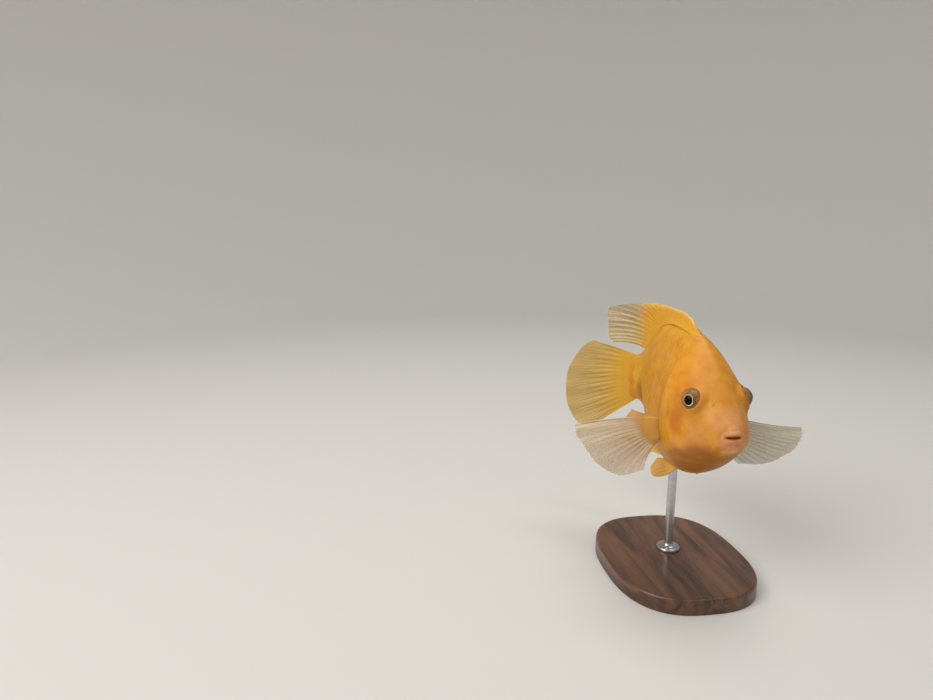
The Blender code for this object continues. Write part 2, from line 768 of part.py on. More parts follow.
def build_pectoral(tree, side_sign, name, tips, bow):
    """A pectoral fin, spread out sideways to brake, on a fleshy base behind the gill cover."""
    back_of, up_of = along(PECTORAL_BACK), along(PECTORAL_UP)

    def angle_of(t):
        return angle_at(back_of(t), up_of(t), side_sign)

    def sheet(t, r):
        start = Vector(skin_point(back_of(t), angle_of(t))) + Vector((0, side_sign * GAP, 0))
        return place(*bowed(start, paired_tip(tips, t, side_sign), Vector(bow), r))

    def ridge(t, r):
        fleshy = PECTORAL_FLESH * (1 - smooth_step(r / PECTORAL_FLESH_REACH))
        return fleshy + PECTORAL_RIDGE * (1 - RIDGE_FADE * r)

    root = skin_root(tree, back_of, angle_of, PECTORAL_ROOT)
    return Fin(name, PECTORAL_SUPPORTS, 7, root, sheet, ridge, lambda t: 0.0).build()


def build_pelvic(tree, side_sign, name):
    """A pelvic fin, folded back under the belly."""
    back_of = along(PELVIC_BACK)

    def angle_of(t):
        return side_sign * PELVIC_ANGLE

    def sheet(t, r):
        start = Vector(skin_point(back_of(t), angle_of(t))) - Vector((0, 0, GAP))
        return place(*bowed(start, paired_tip(PELVIC_TIPS, t, side_sign), Vector(PELVIC_BOW), r))

    def ridge(t, r):
        return PELVIC_RIDGE * (1 - RIDGE_FADE * r)

    root = skin_root(tree, back_of, angle_of, PELVIC_ROOT)
    return Fin(name, PELVIC_SUPPORTS, 6, root, sheet, ridge, lambda t: 0.0).build()


def rounded_outline(width, length):
    """Points round a soft-cornered oval, as wide as a share of a circle's power curve."""
    made = []
    for k in range(BASE_SIDES):
        a = 2 * math.pi * k / BASE_SIDES
        c, s = math.cos(a), math.sin(a)
        made.append((math.copysign(abs(c) ** BASE_ROUNDNESS, c) * width / 2,
                     math.copysign(abs(s) ** BASE_ROUNDNESS, s) * length / 2))
    return made


def build_base():
    shape = bmesh.new()
    face = shape.faces.new([shape.verts.new((x, y, 0)) for x, y in rounded_outline(BASE_WIDTH, BASE_LENGTH)])
    raised = bmesh.ops.extrude_face_region(shape, geom=[face])["geom"]
    lifted = [v for v in raised if isinstance(v, bmesh.types.BMVert)]
    bmesh.ops.translate(shape, verts=lifted, vec=(0, 0, BASE_THICK))
    rim = [e for e in shape.edges if all(v.co.z > BASE_THICK / 2 for v in e.verts)]
    bmesh.ops.bevel(shape, geom=rim, offset=BASE_BEVEL, segments=2, affect="EDGES", profile=0.5)
    bmesh.ops.recalc_face_normals(shape, faces=shape.faces)
    mesh = bpy.data.meshes.new("stand_base")
    shape.to_mesh(mesh)
    shape.free()
    mesh.materials.append(material("stand_wood"))
    bpy.context.scene.collection.objects.link(bpy.data.objects.new("stand_base", mesh))


def build_rod(tree):
    """The rod, turned with a foot, its top cut to the belly."""
    foot = place(ROD_BACK, 0, 0)

    def belly_height(x, y):
        return tree.ray_cast(Vector((x, y, 0)), Vector((0, 0, 1)))[0].z - GAP

    rings = []
    for radius, height in FOOT_PROFILE + ((ROD_RADIUS, None),):
        ring = []
        for k in range(ROD_SIDES):
            a = 2 * math.pi * k / ROD_SIDES
            x, y = foot.x + radius * math.cos(a), foot.y + radius * math.sin(a)
            z = belly_height(x, y) if height is None else BASE_THICK + GAP + height
            ring.append(Vector((x, y, z)))
        rings.append(ring)
    start = Vector((foot.x, foot.y, BASE_THICK + GAP))
    end = Vector((foot.x, foot.y, belly_height(foot.x, foot.y)))
    loft("stand_rod", rings, "stand_metal", start, end)


def main():
    clear_scene()
    head = head_loft()
    tree = body_tree((head, trunk_loft(), stalk_loft()))
    finish_head(head)
    build_median_fin(tree, "dorsal_fin", 1, DORSAL_SUPPORTS, DORSAL_BASE, DORSAL_TIPS,
                     DORSAL_SPINY_SHARE, DORSAL_RIDGE)
    build_median_fin(tree, "anal_fin", -1, ANAL_SUPPORTS, ANAL_BASE, ANAL_TIPS,
                     ANAL_SPINY_SHARE, ANAL_RIDGE)
    build_caudal()
    build_pectoral(tree, 1, "pectoral_fin_left", LEFT_PECTORAL_TIPS, LEFT_PECTORAL_BOW)
    build_pectoral(tree, -1, "pectoral_fin_right", RIGHT_PECTORAL_TIPS, RIGHT_PECTORAL_BOW)
    build_pelvic(tree, 1, "pelvic_fin_left")
    build_pelvic(tree, -1, "pelvic_fin_right")
    build_base()
    build_rod(tree)


main()
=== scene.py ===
"""Looks of the still, life-size blood parrot cichlid on its display stand.

Body coordinates are in millimetres along a straight fish: back from the snout, side to the fish's
left, and up from the line of the mouth. place() bends them along the spine, tips the nose up and
sets the fish on its stand, in metres in the frame's own axes. The shape's driving values are those
of the solids, so that every piece lies where its solids are.
"""

import math

import bpy
import numpy as np
from mathutils import Matrix, Vector


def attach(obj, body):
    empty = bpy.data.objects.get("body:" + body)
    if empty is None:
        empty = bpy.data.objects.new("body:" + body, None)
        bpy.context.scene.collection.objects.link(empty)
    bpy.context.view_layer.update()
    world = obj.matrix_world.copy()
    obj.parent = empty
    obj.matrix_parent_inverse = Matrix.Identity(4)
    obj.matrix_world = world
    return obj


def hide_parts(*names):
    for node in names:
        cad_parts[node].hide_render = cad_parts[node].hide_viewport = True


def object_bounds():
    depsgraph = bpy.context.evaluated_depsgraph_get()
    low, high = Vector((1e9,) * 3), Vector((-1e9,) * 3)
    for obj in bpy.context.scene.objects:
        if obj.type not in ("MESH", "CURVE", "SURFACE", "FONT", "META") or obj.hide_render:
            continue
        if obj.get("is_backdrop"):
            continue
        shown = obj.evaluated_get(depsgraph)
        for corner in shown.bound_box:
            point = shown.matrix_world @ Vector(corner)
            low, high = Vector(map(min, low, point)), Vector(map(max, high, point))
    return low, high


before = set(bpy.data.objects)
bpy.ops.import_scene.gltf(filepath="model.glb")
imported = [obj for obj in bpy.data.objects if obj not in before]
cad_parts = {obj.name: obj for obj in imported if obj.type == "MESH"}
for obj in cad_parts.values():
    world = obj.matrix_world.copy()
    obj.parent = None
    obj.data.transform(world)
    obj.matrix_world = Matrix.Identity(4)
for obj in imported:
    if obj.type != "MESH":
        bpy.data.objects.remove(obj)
CAD_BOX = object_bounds()

MM = 0.001

# Pose
MOUTH_HEIGHT = 104.0
STAND_BACK = 60.0
NOSE_UP = math.radians(5.6)
# Distance back, and how far the spine has turned in degrees
BEND = ((0.0, 0.0), (75.0, 0.0), (88.0, 1.2), (97.0, 5.5), (106.0, 13.5), (114.0, 24.0),
        (122.0, 33.5), (133.0, 45.5), (143.0, 56.5), (155.0, 66.0), (165.0, 70.5), (190.0, 73.0))
SPINE_STEP = 0.5

# Cross sections: back, top, bottom, height of the widest point, half width, crest sharpness,
# set-back of the sides. The first three are inside the mouth, and the last five are the fleshy sheath
# over the root of the tail fin. A row is a place in this table, counted from 0.
SECTIONS = (
    (4.5, -0.45, -0.65, -0.55, 1.2, 1.00, 1.0),
    (3.0, -0.40, -0.70, -0.55, 1.7, 1.00, 1.3),
    (1.0, -0.30, -0.80, -0.55, 2.5, 1.00, 1.5),
    (-0.2, 1.55, -2.10, -0.4, 5.1, 1.00, 1.6),
    (0.9, 3.60, -4.00, -0.3, 6.6, 1.00, 1.2),
    (1.7, 5.10, -5.40, -0.6, 7.6, 1.00, 0.8),
    (3.4, 8.30, -7.70, -1.0, 9.1, 1.00, 0.3),
    (7.0, 14.4, -11.2, -1.5, 11.4, 1.02, 0.0),
    (12.0, 21.6, -15.3, -2.0, 13.8, 1.06, 0.0),
    (18.0, 29.5, -19.4, -2.0, 17.0, 1.10, 0.0),
    (25.0, 37.2, -23.6, -2.0, 20.0, 1.14, 0.0),
    (33.0, 44.0, -27.6, -2.0, 21.2, 1.18, 0.0),
    (42.0, 48.9, -30.6, 0.0, 20.8, 1.24, 0.0),
    (52.0, 51.9, -31.9, 2.0, 19.8, 1.32, 0.0),
    (63.0, 53.4, -31.2, 4.0, 18.3, 1.36, 0.0),
    (75.0, 53.0, -28.2, 6.5, 15.9, 1.34, 0.0),
    (86.0, 49.8, -22.3, 9.0, 12.9, 1.28, 0.0),
    (95.0, 44.2, -14.8, 11.0, 10.0, 1.20, 0.0),
    (103.0, 36.6, -7.8, 12.6, 7.4, 1.10, 0.0),
    (110.0, 30.6, -3.0, 13.4, 5.5, 1.05, 0.0),
    (115.0, 28.2, -1.4, 13.2, 4.5, 1.00, 0.0),
    (117.5, 28.0, -1.5, 13.2, 3.7, 1.00, 0.0),
    (121.0, 27.6, -1.4, 13.2, 2.5, 1.00, 0.0),
    (125.0, 26.4, -0.6, 13.1, 1.2, 1.00, 0.0),
    (128.5, 24.6, 1.0, 13.0, 0.25, 1.00, 0.0),
)
LIP_ROW = 3
LAST_ROW = len(SECTIONS) - 1
BELLY_SHARPNESS = 0.96
FACE_END = 21.0
SHOULDER_START = 60.0
BODY_END = 115.0
SHEATH_END = SECTIONS[-1][0]
# What the fins' bases keep clear of the body by in the solids
GAP = 0.3

# Rear edge of the gill cover: degrees from the crest, and how far back
GILL_EDGE = ((0, 37.0), (30, 38.0), (60, 41.0), (85, 43.8),
             (105, 43.5), (130, 38.5), (155, 29.5), (180, 25.5))
GILL_RAISE = 0.7
GILL_REACH = 16.0
FLANK_RECESS = 0.5
FLANK_RECESS_REACH = 7.0
# Where the cover starts to stand out above and below the middle of the flank, as squares of the angle's sine
FLANK_FROM = (0.45, 0.15)
FLANK_SPAN = 0.5
# Round the gill cover's edge and into the slit under it: distance behind the edge, and height
GILL_FOLD = ((0.22, 0.60), (0.34, 0.36), (0.22, 0.06), (-0.6, -0.18), (-1.5, -0.36),
             (-1.9, -0.62), (-1.5, -0.90), (-0.6, -0.84), (0.3, -0.70), (1.0, -0.55))
PAST_FOLD = 1.5
# How far the painted shade along the gill seam spreads before and behind the edge
GILL_SHADE = (1.6, 4.0)

# Eyes and nostrils
EYE_BACK = 18.8
EYE_UP = 16.6
EYE_RADIUS = 5.9
EYE_STANDS_OUT = 5.3
# The head swells round the eye: height, width, and where it has faded away
EYE_SWELL = 2.2
EYE_SWELL_WIDTH = 8.5
EYE_SWELL_END = 20.0
EYE_SWELL_FADE = 6.0
# The skin goes down round the eye into a socket
SOCKET_RADIUS = 5.15
SOCKET_DEPTH = 6.0
SOCKET_SLOPE = 0.7
SOCKET_REACH = 16.0
SOCKET_FADE = 4.0
# The rim round the eye: radius, height and width, what both gain towards the snout, and the groove round it
RIM_RADIUS = 5.6
RIM_HEIGHT = (0.75, 0.75)
RIM_WIDTH = (1.3, 1.0)
RIM_GROOVE = (9.0, 0.12, 1.3)
NOSTRIL_BACK = 9.5
NOSTRIL_ANGLE = math.radians(33)
NOSTRIL_DEPTH = 0.25
NOSTRIL_RADIUS = 0.55

# Mesh densities of the skin
AROUND = 250
# Points round a ring: the weight of the flat sides, and how much closer they are at the eye, over which span
SIDE_WEIGHT = 0.45
EYE_ANGLE = math.radians(57)
EYE_WEIGHT = 0.75
EYE_SPAN = 0.30
# Rings between rows of SECTIONS: first row, last row and number; the last stretch ends at FACE_END
FACE_RINGS = ((0, 2, 6), (2, 4.6, 30), (4.6, 6, 18), (6, 7, 18), (7, 8, 24), (8, 9, 27))
CHEEK_RINGS = 14
COVER_RINGS = 52
SHOULDER_RINGS = 58
FLANK_RINGS = 92
SHEATH_RINGS = 26
# How far back the middles of the first and the last ring are set
END_BULGES = (0.6, 0.4)
CREASE = 0.02


def curve(stations, x, column=1):
    """Smooth values at x through rows that start with x."""
    table = np.array(stations, float)
    xs, ys = table[:, 0], table[:, column]
    x = np.clip(np.asarray(x, float), xs[0], xs[-1])
    last = len(xs) - 1
    i = np.clip(np.searchsorted(xs, x, side="right") - 1, 0, last - 1)
    before, after = np.maximum(i - 1, 0), np.minimum(i + 2, last)
    step = xs[i + 1] - xs[i]
    t = (x - xs[i]) / step
    slope0 = (ys[i + 1] - ys[before]) / (xs[i + 1] - xs[before])
    slope1 = (ys[after] - ys[i]) / (xs[after] - xs[i])
    return (ys[i] * (2 * t**3 - 3 * t**2 + 1) + slope0 * step * (t**3 - 2 * t**2 + t)
            + ys[i + 1] * (3 * t**2 - 2 * t**3) + slope1 * step * (t**3 - t**2))


def smooth(x):
    x = np.clip(x, 0.0, 1.0)
    return x * x * (3 - 2 * x)


def bell(x, width):
    return np.exp(-((x / width) ** 2))


def along(ends, t):
    return ends[0] + (ends[1] - ends[0]) * t


def falling(ends, r):
    return along(ends, np.clip(r, 0, 1))


def unit(v):
    return v / np.maximum(np.linalg.norm(v, axis=-1, keepdims=True), 1e-12)


def stack(*parts):
    return np.stack(np.broadcast_arrays(*parts), axis=-1)


def spine_table():
    """Distance back, x, y and heading along the bent spine."""
    back = np.arange(0, BEND[-1][0] + SPINE_STEP / 2, SPINE_STEP)
    middle = np.radians(curve(BEND, back[:-1] + SPINE_STEP / 2))
    x = -np.concatenate(([0.0], np.cumsum(np.sin(middle)) * SPINE_STEP))
    y = np.concatenate(([0.0], np.cumsum(np.cos(middle)) * SPINE_STEP))
    return back, x, y, np.radians(curve(BEND, back))


SPINE = spine_table()


def place(points):
    """Frame points, in metres, of body coordinates in millimetres."""
    back, side, up = points[..., 0], points[..., 1], points[..., 2]
    x, y, heading = (np.interp(back, SPINE[0], column) for column in SPINE[1:])
    y = np.where(back < 0, back, y)
    x = x + side * np.cos(heading)
    y = y + side * np.sin(heading) - STAND_BACK
    tipped_y = y * math.cos(NOSE_UP) + up * math.sin(NOSE_UP)
    tipped_up = up * math.cos(NOSE_UP) - y * math.sin(NOSE_UP)
    lowered = STAND_BACK * math.sin(NOSE_UP)
    return stack(x, tipped_y, MOUTH_HEIGHT - lowered + tipped_up) * MM


# A fine table of rows, from just behind the lips to the tail, and how far back each is
ROWS = np.arange(LIP_ROW + 1, len(SECTIONS) - 0.999, 0.004)
NUMBERED_SECTIONS = tuple((i, *s) for i, s in enumerate(SECTIONS))
ROW_BACKS = curve(NUMBERED_SECTIONS, ROWS)


def row_at(back):
    return np.interp(back, ROW_BACKS, ROWS)


def gill_edge(angle):
    return curve(GILL_EDGE, np.abs(np.degrees(np.remainder(angle + math.pi, 2 * math.pi) - math.pi)))


def flank(angle):
    """How much of the gill cover's edge stands out at an angle: 1 on the flanks, 0 on crest and belly."""
    start = np.where(np.cos(angle) > 0, *FLANK_FROM)
    return smooth((np.sin(angle) ** 2 - start) / FLANK_SPAN)


def relief(back, angle):
    """Height of the gill cover over the smooth body, and depth of the flank just behind it."""
    behind = back - gill_edge(angle)
    cover = GILL_RAISE * smooth(1 + behind / GILL_REACH)
    recess = -FLANK_RECESS * smooth(1 - behind / FLANK_RECESS_REACH)
    return flank(angle) * np.where(behind <= 0, cover, recess)


def outline(row, angle, raised=0.0):
    """Body coordinates of the smooth surface at a row of SECTIONS and an angle from the crest."""
    back, top, bottom, wide_up, half, crest, set_back = (
        curve(NUMBERED_SECTIONS, row, column) for column in range(1, 8))
    c, s = np.cos(angle), np.sin(angle)
    spread = np.sign(s) * np.abs(s) ** np.where(c > 0, crest, BELLY_SHARPNESS)
    reach = np.where(c > 0, top - wide_up, wide_up - bottom)
    wider = 1 + raised / np.maximum(half, 1.0)
    taller = 1 + raised / np.maximum(reach, 1.0)
    return stack(back + set_back * s * s, half * spread * wider, wide_up + reach * c * taller)


def outwards(row, angle):
    """Normals of the smooth surface."""
    step = 0.02
    turned = outline(row, angle + step) - outline(row, angle - step)
    moved = outline(row + step, angle) - outline(row - step, angle)
    return unit(np.cross(moved, turned))


def angle_at(back, up):
    """The angle from the crest, on the left, at which the body is at a height."""
    angles = np.linspace(0, math.pi, 2000)
    heights = outline(row_at(back), angles)[:, 2]
    return float(np.interp(-up, -heights, angles))


def eye_seat():
    """The point of the skin where the left eye sits, and the direction that it faces."""
    angle = angle_at(EYE_BACK, EYE_UP)
    row = row_at(EYE_BACK)
    return outline(row, angle), outwards(row, angle)


EYE_POINT, EYE_AXIS = eye_seat()
NOSTRIL = outline(row_at(NOSTRIL_BACK), NOSTRIL_ANGLE)


def mirrored(points):
    """Both flanks as the left one."""
    return points * np.array((1, 0, 1)) + np.abs(points) * np.array((0, 1, 0))


def line_distance(points, line, plane):
    """Distance to a line of points, seen in a plane given by two of the three body coordinates."""
    flat = points[..., plane]
    nearest = np.full(flat.shape[:-1], np.inf)
    corners = np.array(line, float)
    for a, b in zip(corners[:-1], corners[1:]):
        side = b - a
        share = np.clip(((flat - a) @ side) / (side @ side), 0, 1)
        away = flat - a - share[..., None] * side
        nearest = np.minimum(nearest, np.linalg.norm(away, axis=-1))
    return nearest


SIDE_VIEW = (0, 2)
# Grooves and ridges of the head, seen from the side: height, width, and points (back, up)
HEAD_LINES = (
    (-0.30, 1.8, ((28.5, 19.0), (33.0, 11.0), (34.6, 1.0), (32.4, -9.0), (27.0, -15.5), (19.0, -17.0))),
    (0.20, 2.0, ((31.0, 10.0), (32.4, 1.0), (30.4, -7.5), (25.5, -13.0))),
    (-0.22, 1.0, ((12.5, 11.5), (15.0, 7.4), (19.5, 5.8), (24.5, 7.6), (28.0, 11.5))),
    (-0.16, 0.9, ((2.0, -0.4), (3.7, -1.6), (5.4, -3.6), (6.4, -6.4))),
    (-0.22, 1.4, ((3.2, -8.2), (6.5, -9.6), (11.0, -11.2), (17.0, -14.0))),
)
# The grooves start this far out to the side, and are full this much further out
LINES_FROM = 2.0
LINES_FADE = 3.0
# Soft swellings and hollows: height, centre (back, side, up) and radius
HEAD_FORMS = (
    (0.55, (1.6, 0.0, -6.6), 3.0),
    (-0.55, (5.6, 0.0, -9.8), 2.2),
    (0.35, (1.0, 0.0, 4.2), 3.0),
    (-0.50, (26.5, 19.0, 8.0), 6.0),
    (0.55, (15.0, 14.0, -3.0), 8.0),
    (0.40, (40.0, 21.0, 10.0), 7.0),
    (-0.45, (14.0, 12.0, 24.0), 5.0),
)
# Rows of SECTIONS between which the forms of the head start, behind the lips
LIPS_END = 3.6
LIPS_FADE = 0.8
# Round the mouth: a groove behind the lips, from its middle to its corners, and the lips' own fullness
LIP_GROOVE_ROW = 4.45
LIP_GROOVE_DEPTH = (0.02, 0.07)
LIP_GROOVE_WIDTH = 0.5
MOUTH_CORNER = 5.0
LIP_ROUND_ROW = 3.4
LIP_ROUND = 0.04
LIP_ROUND_WIDTH = 0.45
# Rows of SECTIONS over which the colour of the mouth's inside ends
MOUTH_END = 2.9
MOUTH_FADE = 0.7
# How far out to the right the painted shade of the right side alone is full
RIGHT_FADE = 4.0
# Slow swells of the skin: height, the rows between which they are, and waves along back, side and up, with
# their phase
UNEVENNESS = 0.16
UNEVEN_ROWS = (4, 24)
UNEVEN_FADE = 3
WAVES = ((0.22, 0.10, 0.26, 0.4), (0.10, 0.32, -0.24, 1.9), (-0.42, 0.18, 0.16, 3.1),
         (0.38, -0.4, 0.48, 5.0))


def unevenness(points, row):
    """Slow, faint swells, so that no surface is perfectly smooth. They fade at the lips and the tail."""
    total = 0.0
    for a, b, c, phase in WAVES:
        total = total + np.sin(points[..., 0] * a + points[..., 1] * b + points[..., 2] * c + phase)
    first, last = UNEVEN_ROWS
    share = smooth((row - first) / UNEVEN_FADE) * smooth((last - row) / UNEVEN_FADE)
    return UNEVENNESS * total / len(WAVES) * share


def eye_relief(at):
    """Swelling, rim and socket round the eye."""
    from_eye = at - EYE_POINT
    along_axis = from_eye @ EYE_AXIS
    away = np.linalg.norm(from_eye - along_axis[..., None] * EYE_AXIS, axis=-1)
    near = smooth((SOCKET_REACH - np.linalg.norm(from_eye, axis=-1)) / SOCKET_FADE)
    socket = -SOCKET_DEPTH * smooth((SOCKET_RADIUS - away) / SOCKET_SLOPE)
    forward = np.clip(-from_eye[..., 0] / np.maximum(away, 1.0), 0, 1)
    rim = (RIM_HEIGHT[0] + RIM_HEIGHT[1] * forward) * bell(
        away - RIM_RADIUS, RIM_WIDTH[0] + RIM_WIDTH[1] * forward)
    groove_radius, groove_depth, groove_width = RIM_GROOVE
    rim = rim - groove_depth * bell(away - groove_radius, groove_width)
    swell = EYE_SWELL * bell(away, EYE_SWELL_WIDTH) * smooth((EYE_SWELL_END - away) / EYE_SWELL_FADE)
    return swell + near * (socket + rim)


def detail(points, row):
    """How far the finished skin stands out from the smooth surface."""
    at = mirrored(points)
    behind_lips = smooth((row - LIPS_END) / LIPS_FADE)
    on_flank = smooth((at[..., 1] - LINES_FROM) / LINES_FADE)
    height = unevenness(points, row)
    for rise, width, line in HEAD_LINES:
        height = height + rise * bell(line_distance(at, line, SIDE_VIEW), width) * on_flank * behind_lips
    for rise, centre, radius in HEAD_FORMS:
        away = np.linalg.norm(at - np.array(centre), axis=-1)
        height = height + rise * bell(away, radius) * behind_lips
    groove = falling(LIP_GROOVE_DEPTH, smooth(at[..., 1] / MOUTH_CORNER))
    height = height - groove * bell(row - LIP_GROOVE_ROW, LIP_GROOVE_WIDTH)
    height = height + LIP_ROUND * bell(row - LIP_ROUND_ROW, LIP_ROUND_WIDTH)
    height = height + eye_relief(at)
    return height - NOSTRIL_DEPTH * bell(np.linalg.norm(at - NOSTRIL, axis=-1), NOSTRIL_RADIUS)


def surface(row, angle, raised=0.0):
    """Body coordinates of the finished skin."""
    points = outline(row, angle, raised)
    return points + outwards(row, angle) * detail(points, row)[..., None]


def spread_out(density, count, low, high):
    """Values from low to high, set closer where the density is higher."""
    x = np.linspace(low, high, 4000)
    amount = np.concatenate(([0.0], np.cumsum(density(x[:-1]))))
    return np.interp(np.linspace(0, amount[-1], count), amount, x)


def ring_density(angle):
    """How close the skin's points are at an angle: closer on the flat sides and at the eyes."""
    girth = np.hypot(SIDE_WEIGHT * np.cos(angle), np.sin(angle))
    return girth + EYE_WEIGHT * bell(np.abs(angle) - EYE_ANGLE, EYE_SPAN)


def skin_rings(angles):
    """Rows of SECTIONS and raised heights of every ring of the skin, from inside the mouth to the tail."""
    zero = np.zeros_like(angles)
    for start, end, count in FACE_RINGS + ((FACE_RINGS[-1][1], float(row_at(FACE_END)), CHEEK_RINGS),):
        for row in np.linspace(start, end, count, endpoint=False):
            yield zero + row, zero
    edge, open_share = gill_edge(angles), flank(angles)
    for share in np.linspace(0, 1, COVER_RINGS):
        back = FACE_END + (edge - CREASE - FACE_END) * share
        yield row_at(back), relief(back, angles)
    for k, (behind, height) in enumerate(GILL_FOLD):
        back = edge + behind * open_share + CREASE * (k + 1) * (1 - open_share)
        yield row_at(back), height * open_share
    start = edge + PAST_FOLD
    for share in np.linspace(0, 1, SHOULDER_RINGS, endpoint=False):
        back = start + (SHOULDER_START - start) * share
        yield row_at(back), relief(back, angles)
    for back in np.linspace(SHOULDER_START, BODY_END, FLANK_RINGS, endpoint=False):
        yield zero + row_at(back), relief(back, angles)
    for back in np.linspace(BODY_END, SHEATH_END, SHEATH_RINGS):
        yield zero + row_at(back), zero


def mesh_piece(name, points, faces, material):
    mesh = bpy.data.meshes.new(name)
    mesh.from_pydata(points.reshape(-1, 3).tolist(), [], faces)
    mesh.materials.append(material)
    mesh.shade_smooth()
    piece = bpy.data.objects.new(name, mesh)
    bpy.context.scene.collection.objects.link(piece)
    return piece


def keep_vector(piece, name, values):
    attribute = piece.data.attributes.new(name, "FLOAT_VECTOR", "POINT")
    attribute.data.foreach_set("vector", np.ascontiguousarray(values, np.float32).ravel())


def keep_value(piece, name, values):
    attribute = piece.data.attributes.new(name, "FLOAT", "POINT")
    attribute.data.foreach_set("value", np.ascontiguousarray(values, np.float32).ravel())


def near_gill_edge(back, angle):
    """Share of the painted shade along the gill seam: 1 at the gill cover's edge, fading over the cover and
    the flank.
    """
    behind = back - gill_edge(angle)
    before_shade, behind_shade = GILL_SHADE
    return flank(angle) * np.where(behind < 0, bell(behind, before_shade), bell(behind, behind_shade))


def mark_skin(piece, body):
    """Keeps what the skin's colours go by: the place on the left flank, and which side is the right one."""
    keep_vector(piece, "fish_mm", mirrored(body))
    keep_value(piece, "right_side", smooth(-body[:, 1] / RIGHT_FADE))


def tube_faces(rings, around):
    """Faces of a closed tube of rings, whose last two points close its ends."""
    ring, k = np.meshgrid(np.arange(rings - 1), np.arange(around), indexing="ij")
    a = ring * around + k
    b = ring * around + (k + 1) % around
    faces = np.stack((a, b, b + around, a + around), axis=-1).reshape(-1, 4).tolist()
    first, last, end = rings * around, rings * around + 1, (rings - 1) * around
    for i in range(around):
        faces.append((first, (i + 1) % around, i))
        faces.append((last, end + i, end + (i + 1) % around))
    return faces


def build_skin(material):
    angles = spread_out(ring_density, AROUND + 1, -math.pi, math.pi)[:-1]
    rows, raised = (np.array(values) for values in zip(*skin_rings(angles)))
    body = surface(rows, angles[None, :], raised)
    ends = np.array([ring.mean(axis=0) + (bulge, 0, 0) for ring, bulge in zip(body[[0, -1]], END_BULGES)])
    body = np.concatenate((body.reshape(-1, 3), ends))
    skin = mesh_piece("skin", place(body), tube_faces(len(rows), len(angles)), material)
    mark_skin(skin, body)
    inside = np.concatenate((np.repeat(rows[:, 0], len(angles)), (0, LAST_ROW)))
    keep_value(skin, "mouth", smooth((MOUTH_END - inside) / MOUTH_FADE))
    gill = near_gill_edge(np.interp(rows, ROWS, ROW_BACKS), angles[None, :] + 0 * rows)
    keep_value(skin, "gill", np.concatenate((gill.ravel(), (0, 0))))
    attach(skin, "root")
    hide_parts("head", "trunk", "tail_stalk")


# Fins: half thickness of the membrane and of its margin, and half width and rise of the spines
MEMBRANE_HALF = 0.09
EDGE_HALF = 0.03
SPINE_RISE = (0.42, 0.10)
SPINE_HALF = (0.42, 0.14)
SPINE_PROUD = 0.02
# Where the membrane has points between two strands, as shares of the gap: beside a spine, and elsewhere
GAP_SHARES = ((0.3, 0.7), (0.5,))
LEAST_ROUNDED = 0.05
# Half widths in supports that a branch and an end ray never pass, and how much wider the end rays are
WIDEST_RAY = 0.105
WIDEST_END = 0.3
END_WIDER = 1.6
# A ray's section: place across it and rise
PROFILE = ((-1.0, 0.0), (-0.62, 0.78), (0.0, 1.0), (0.62, 0.78), (1.0, 0.0))
# Branches: how they move apart from the fork on, the least distance between big and small ones in half
# widths, and how unevenly they end, as a share of the margin's notches
BRANCH_POWER = 0.8
BRANCH_CLEAR = (2.06, 1.02)
UNEVEN_ENDS = 0.6
# Where the membrane starts to thin towards the margin, and where the rays do, and by how much
THIN_FROM = 0.85
RAYS_THIN_FROM = 0.9
RAYS_THIN = 0.8
# Waves of the membrane: share of their height, how fast they turn from ray to ray and along a ray, and phase
RIPPLES = ((1.0, 1.9, 5.0, 0.0), (0.6, 0.83, 0.0, 1.7))
RIPPLE_POWER = 1.4
MEDIAN_BOW = 0.05
WEDGE_HEIGHT = 4.5
# Rows of a fin are set closer towards its root
ROW_POWER = 0.85
# What shapes a fin where its own row says nothing else: how deep its root goes, where the rays rise out of
# the flesh, as shares of its reach, the extra half thickness where the fin meets the body, in front and
# behind, the height of its waves, the notches of its margin between rays and between spines, where the rays
# fork, how far the branches spread, and the rays' half width and rise from root to tip
FIN_SHAPE = {"sink": 1.6, "ray_start": (0.45, 0.95), "wedge": (0.0, 0.0), "wave": 0.5, "dip": 0.02,
             "spiny_dip": 0.10, "forks": (0.34, 0.62), "spread": (0.25, 0.12), "ray_half": (0.15, 0.07),
             "ray_rise": (0.17, 0.05)}
# Each kind of fin: supports, how many of them are spines, rows from root to margin, half thickness of the
# flesh at the root, how far the flesh reaches along the base, and what else shapes it
DORSAL_SHAPE = {"supports": 38, "spines": 24, "rows": 54, "flesh": 0.6,
                "flesh_reach": ((0.0, 0.95), (0.55, 0.85), (0.70, 0.35), (1.0, 0.2)), "wave": 0.35,
                "sink": 3.0, "wedge": (2.2, 1.1), "spiny_dip": 0.08, "forks": (0.55, 0.85),
                "spread": (0.16, 0.08), "ray_half": (0.17, 0.14), "ray_rise": (0.25, 0.08)}
ANAL_SHAPE = {"supports": 15, "spines": 7, "rows": 50, "flesh": 1.2,
              "flesh_reach": ((0.0, 0.7), (0.45, 0.5), (1.0, 0.3)), "wave": 0.4, "spiny_dip": 0.12,
              "wedge": (1.6, 0.8)}
CAUDAL_SHAPE = {"supports": 17, "spines": 0, "rows": 92, "flesh": 2.0,
                "flesh_reach": ((0.0, 0.44), (1.0, 0.44)), "ray_start": (0.5, 1.4), "wave": 0.7,
                "sink": 3.0, "dip": 0.012}
PECTORAL_SHAPE = {"supports": 15, "spines": 0, "rows": 80, "flesh": 1.5,
                  "flesh_reach": ((0.0, 0.34), (1.0, 0.30)), "wave": 0.4, "sink": 3.0, "dip": 0.014,
                  "forks": (0.42, 0.78), "spread": (0.15, 0.07), "ray_half": (0.21, 0.18),
                  "ray_rise": (0.24, 0.10)}
PELVIC_SHAPE = {"supports": 6, "spines": 1, "rows": 48, "flesh": 1.2,
                "flesh_reach": ((0.0, 0.4), (1.0, 0.4)), "wave": 0.25, "sink": 2.0}

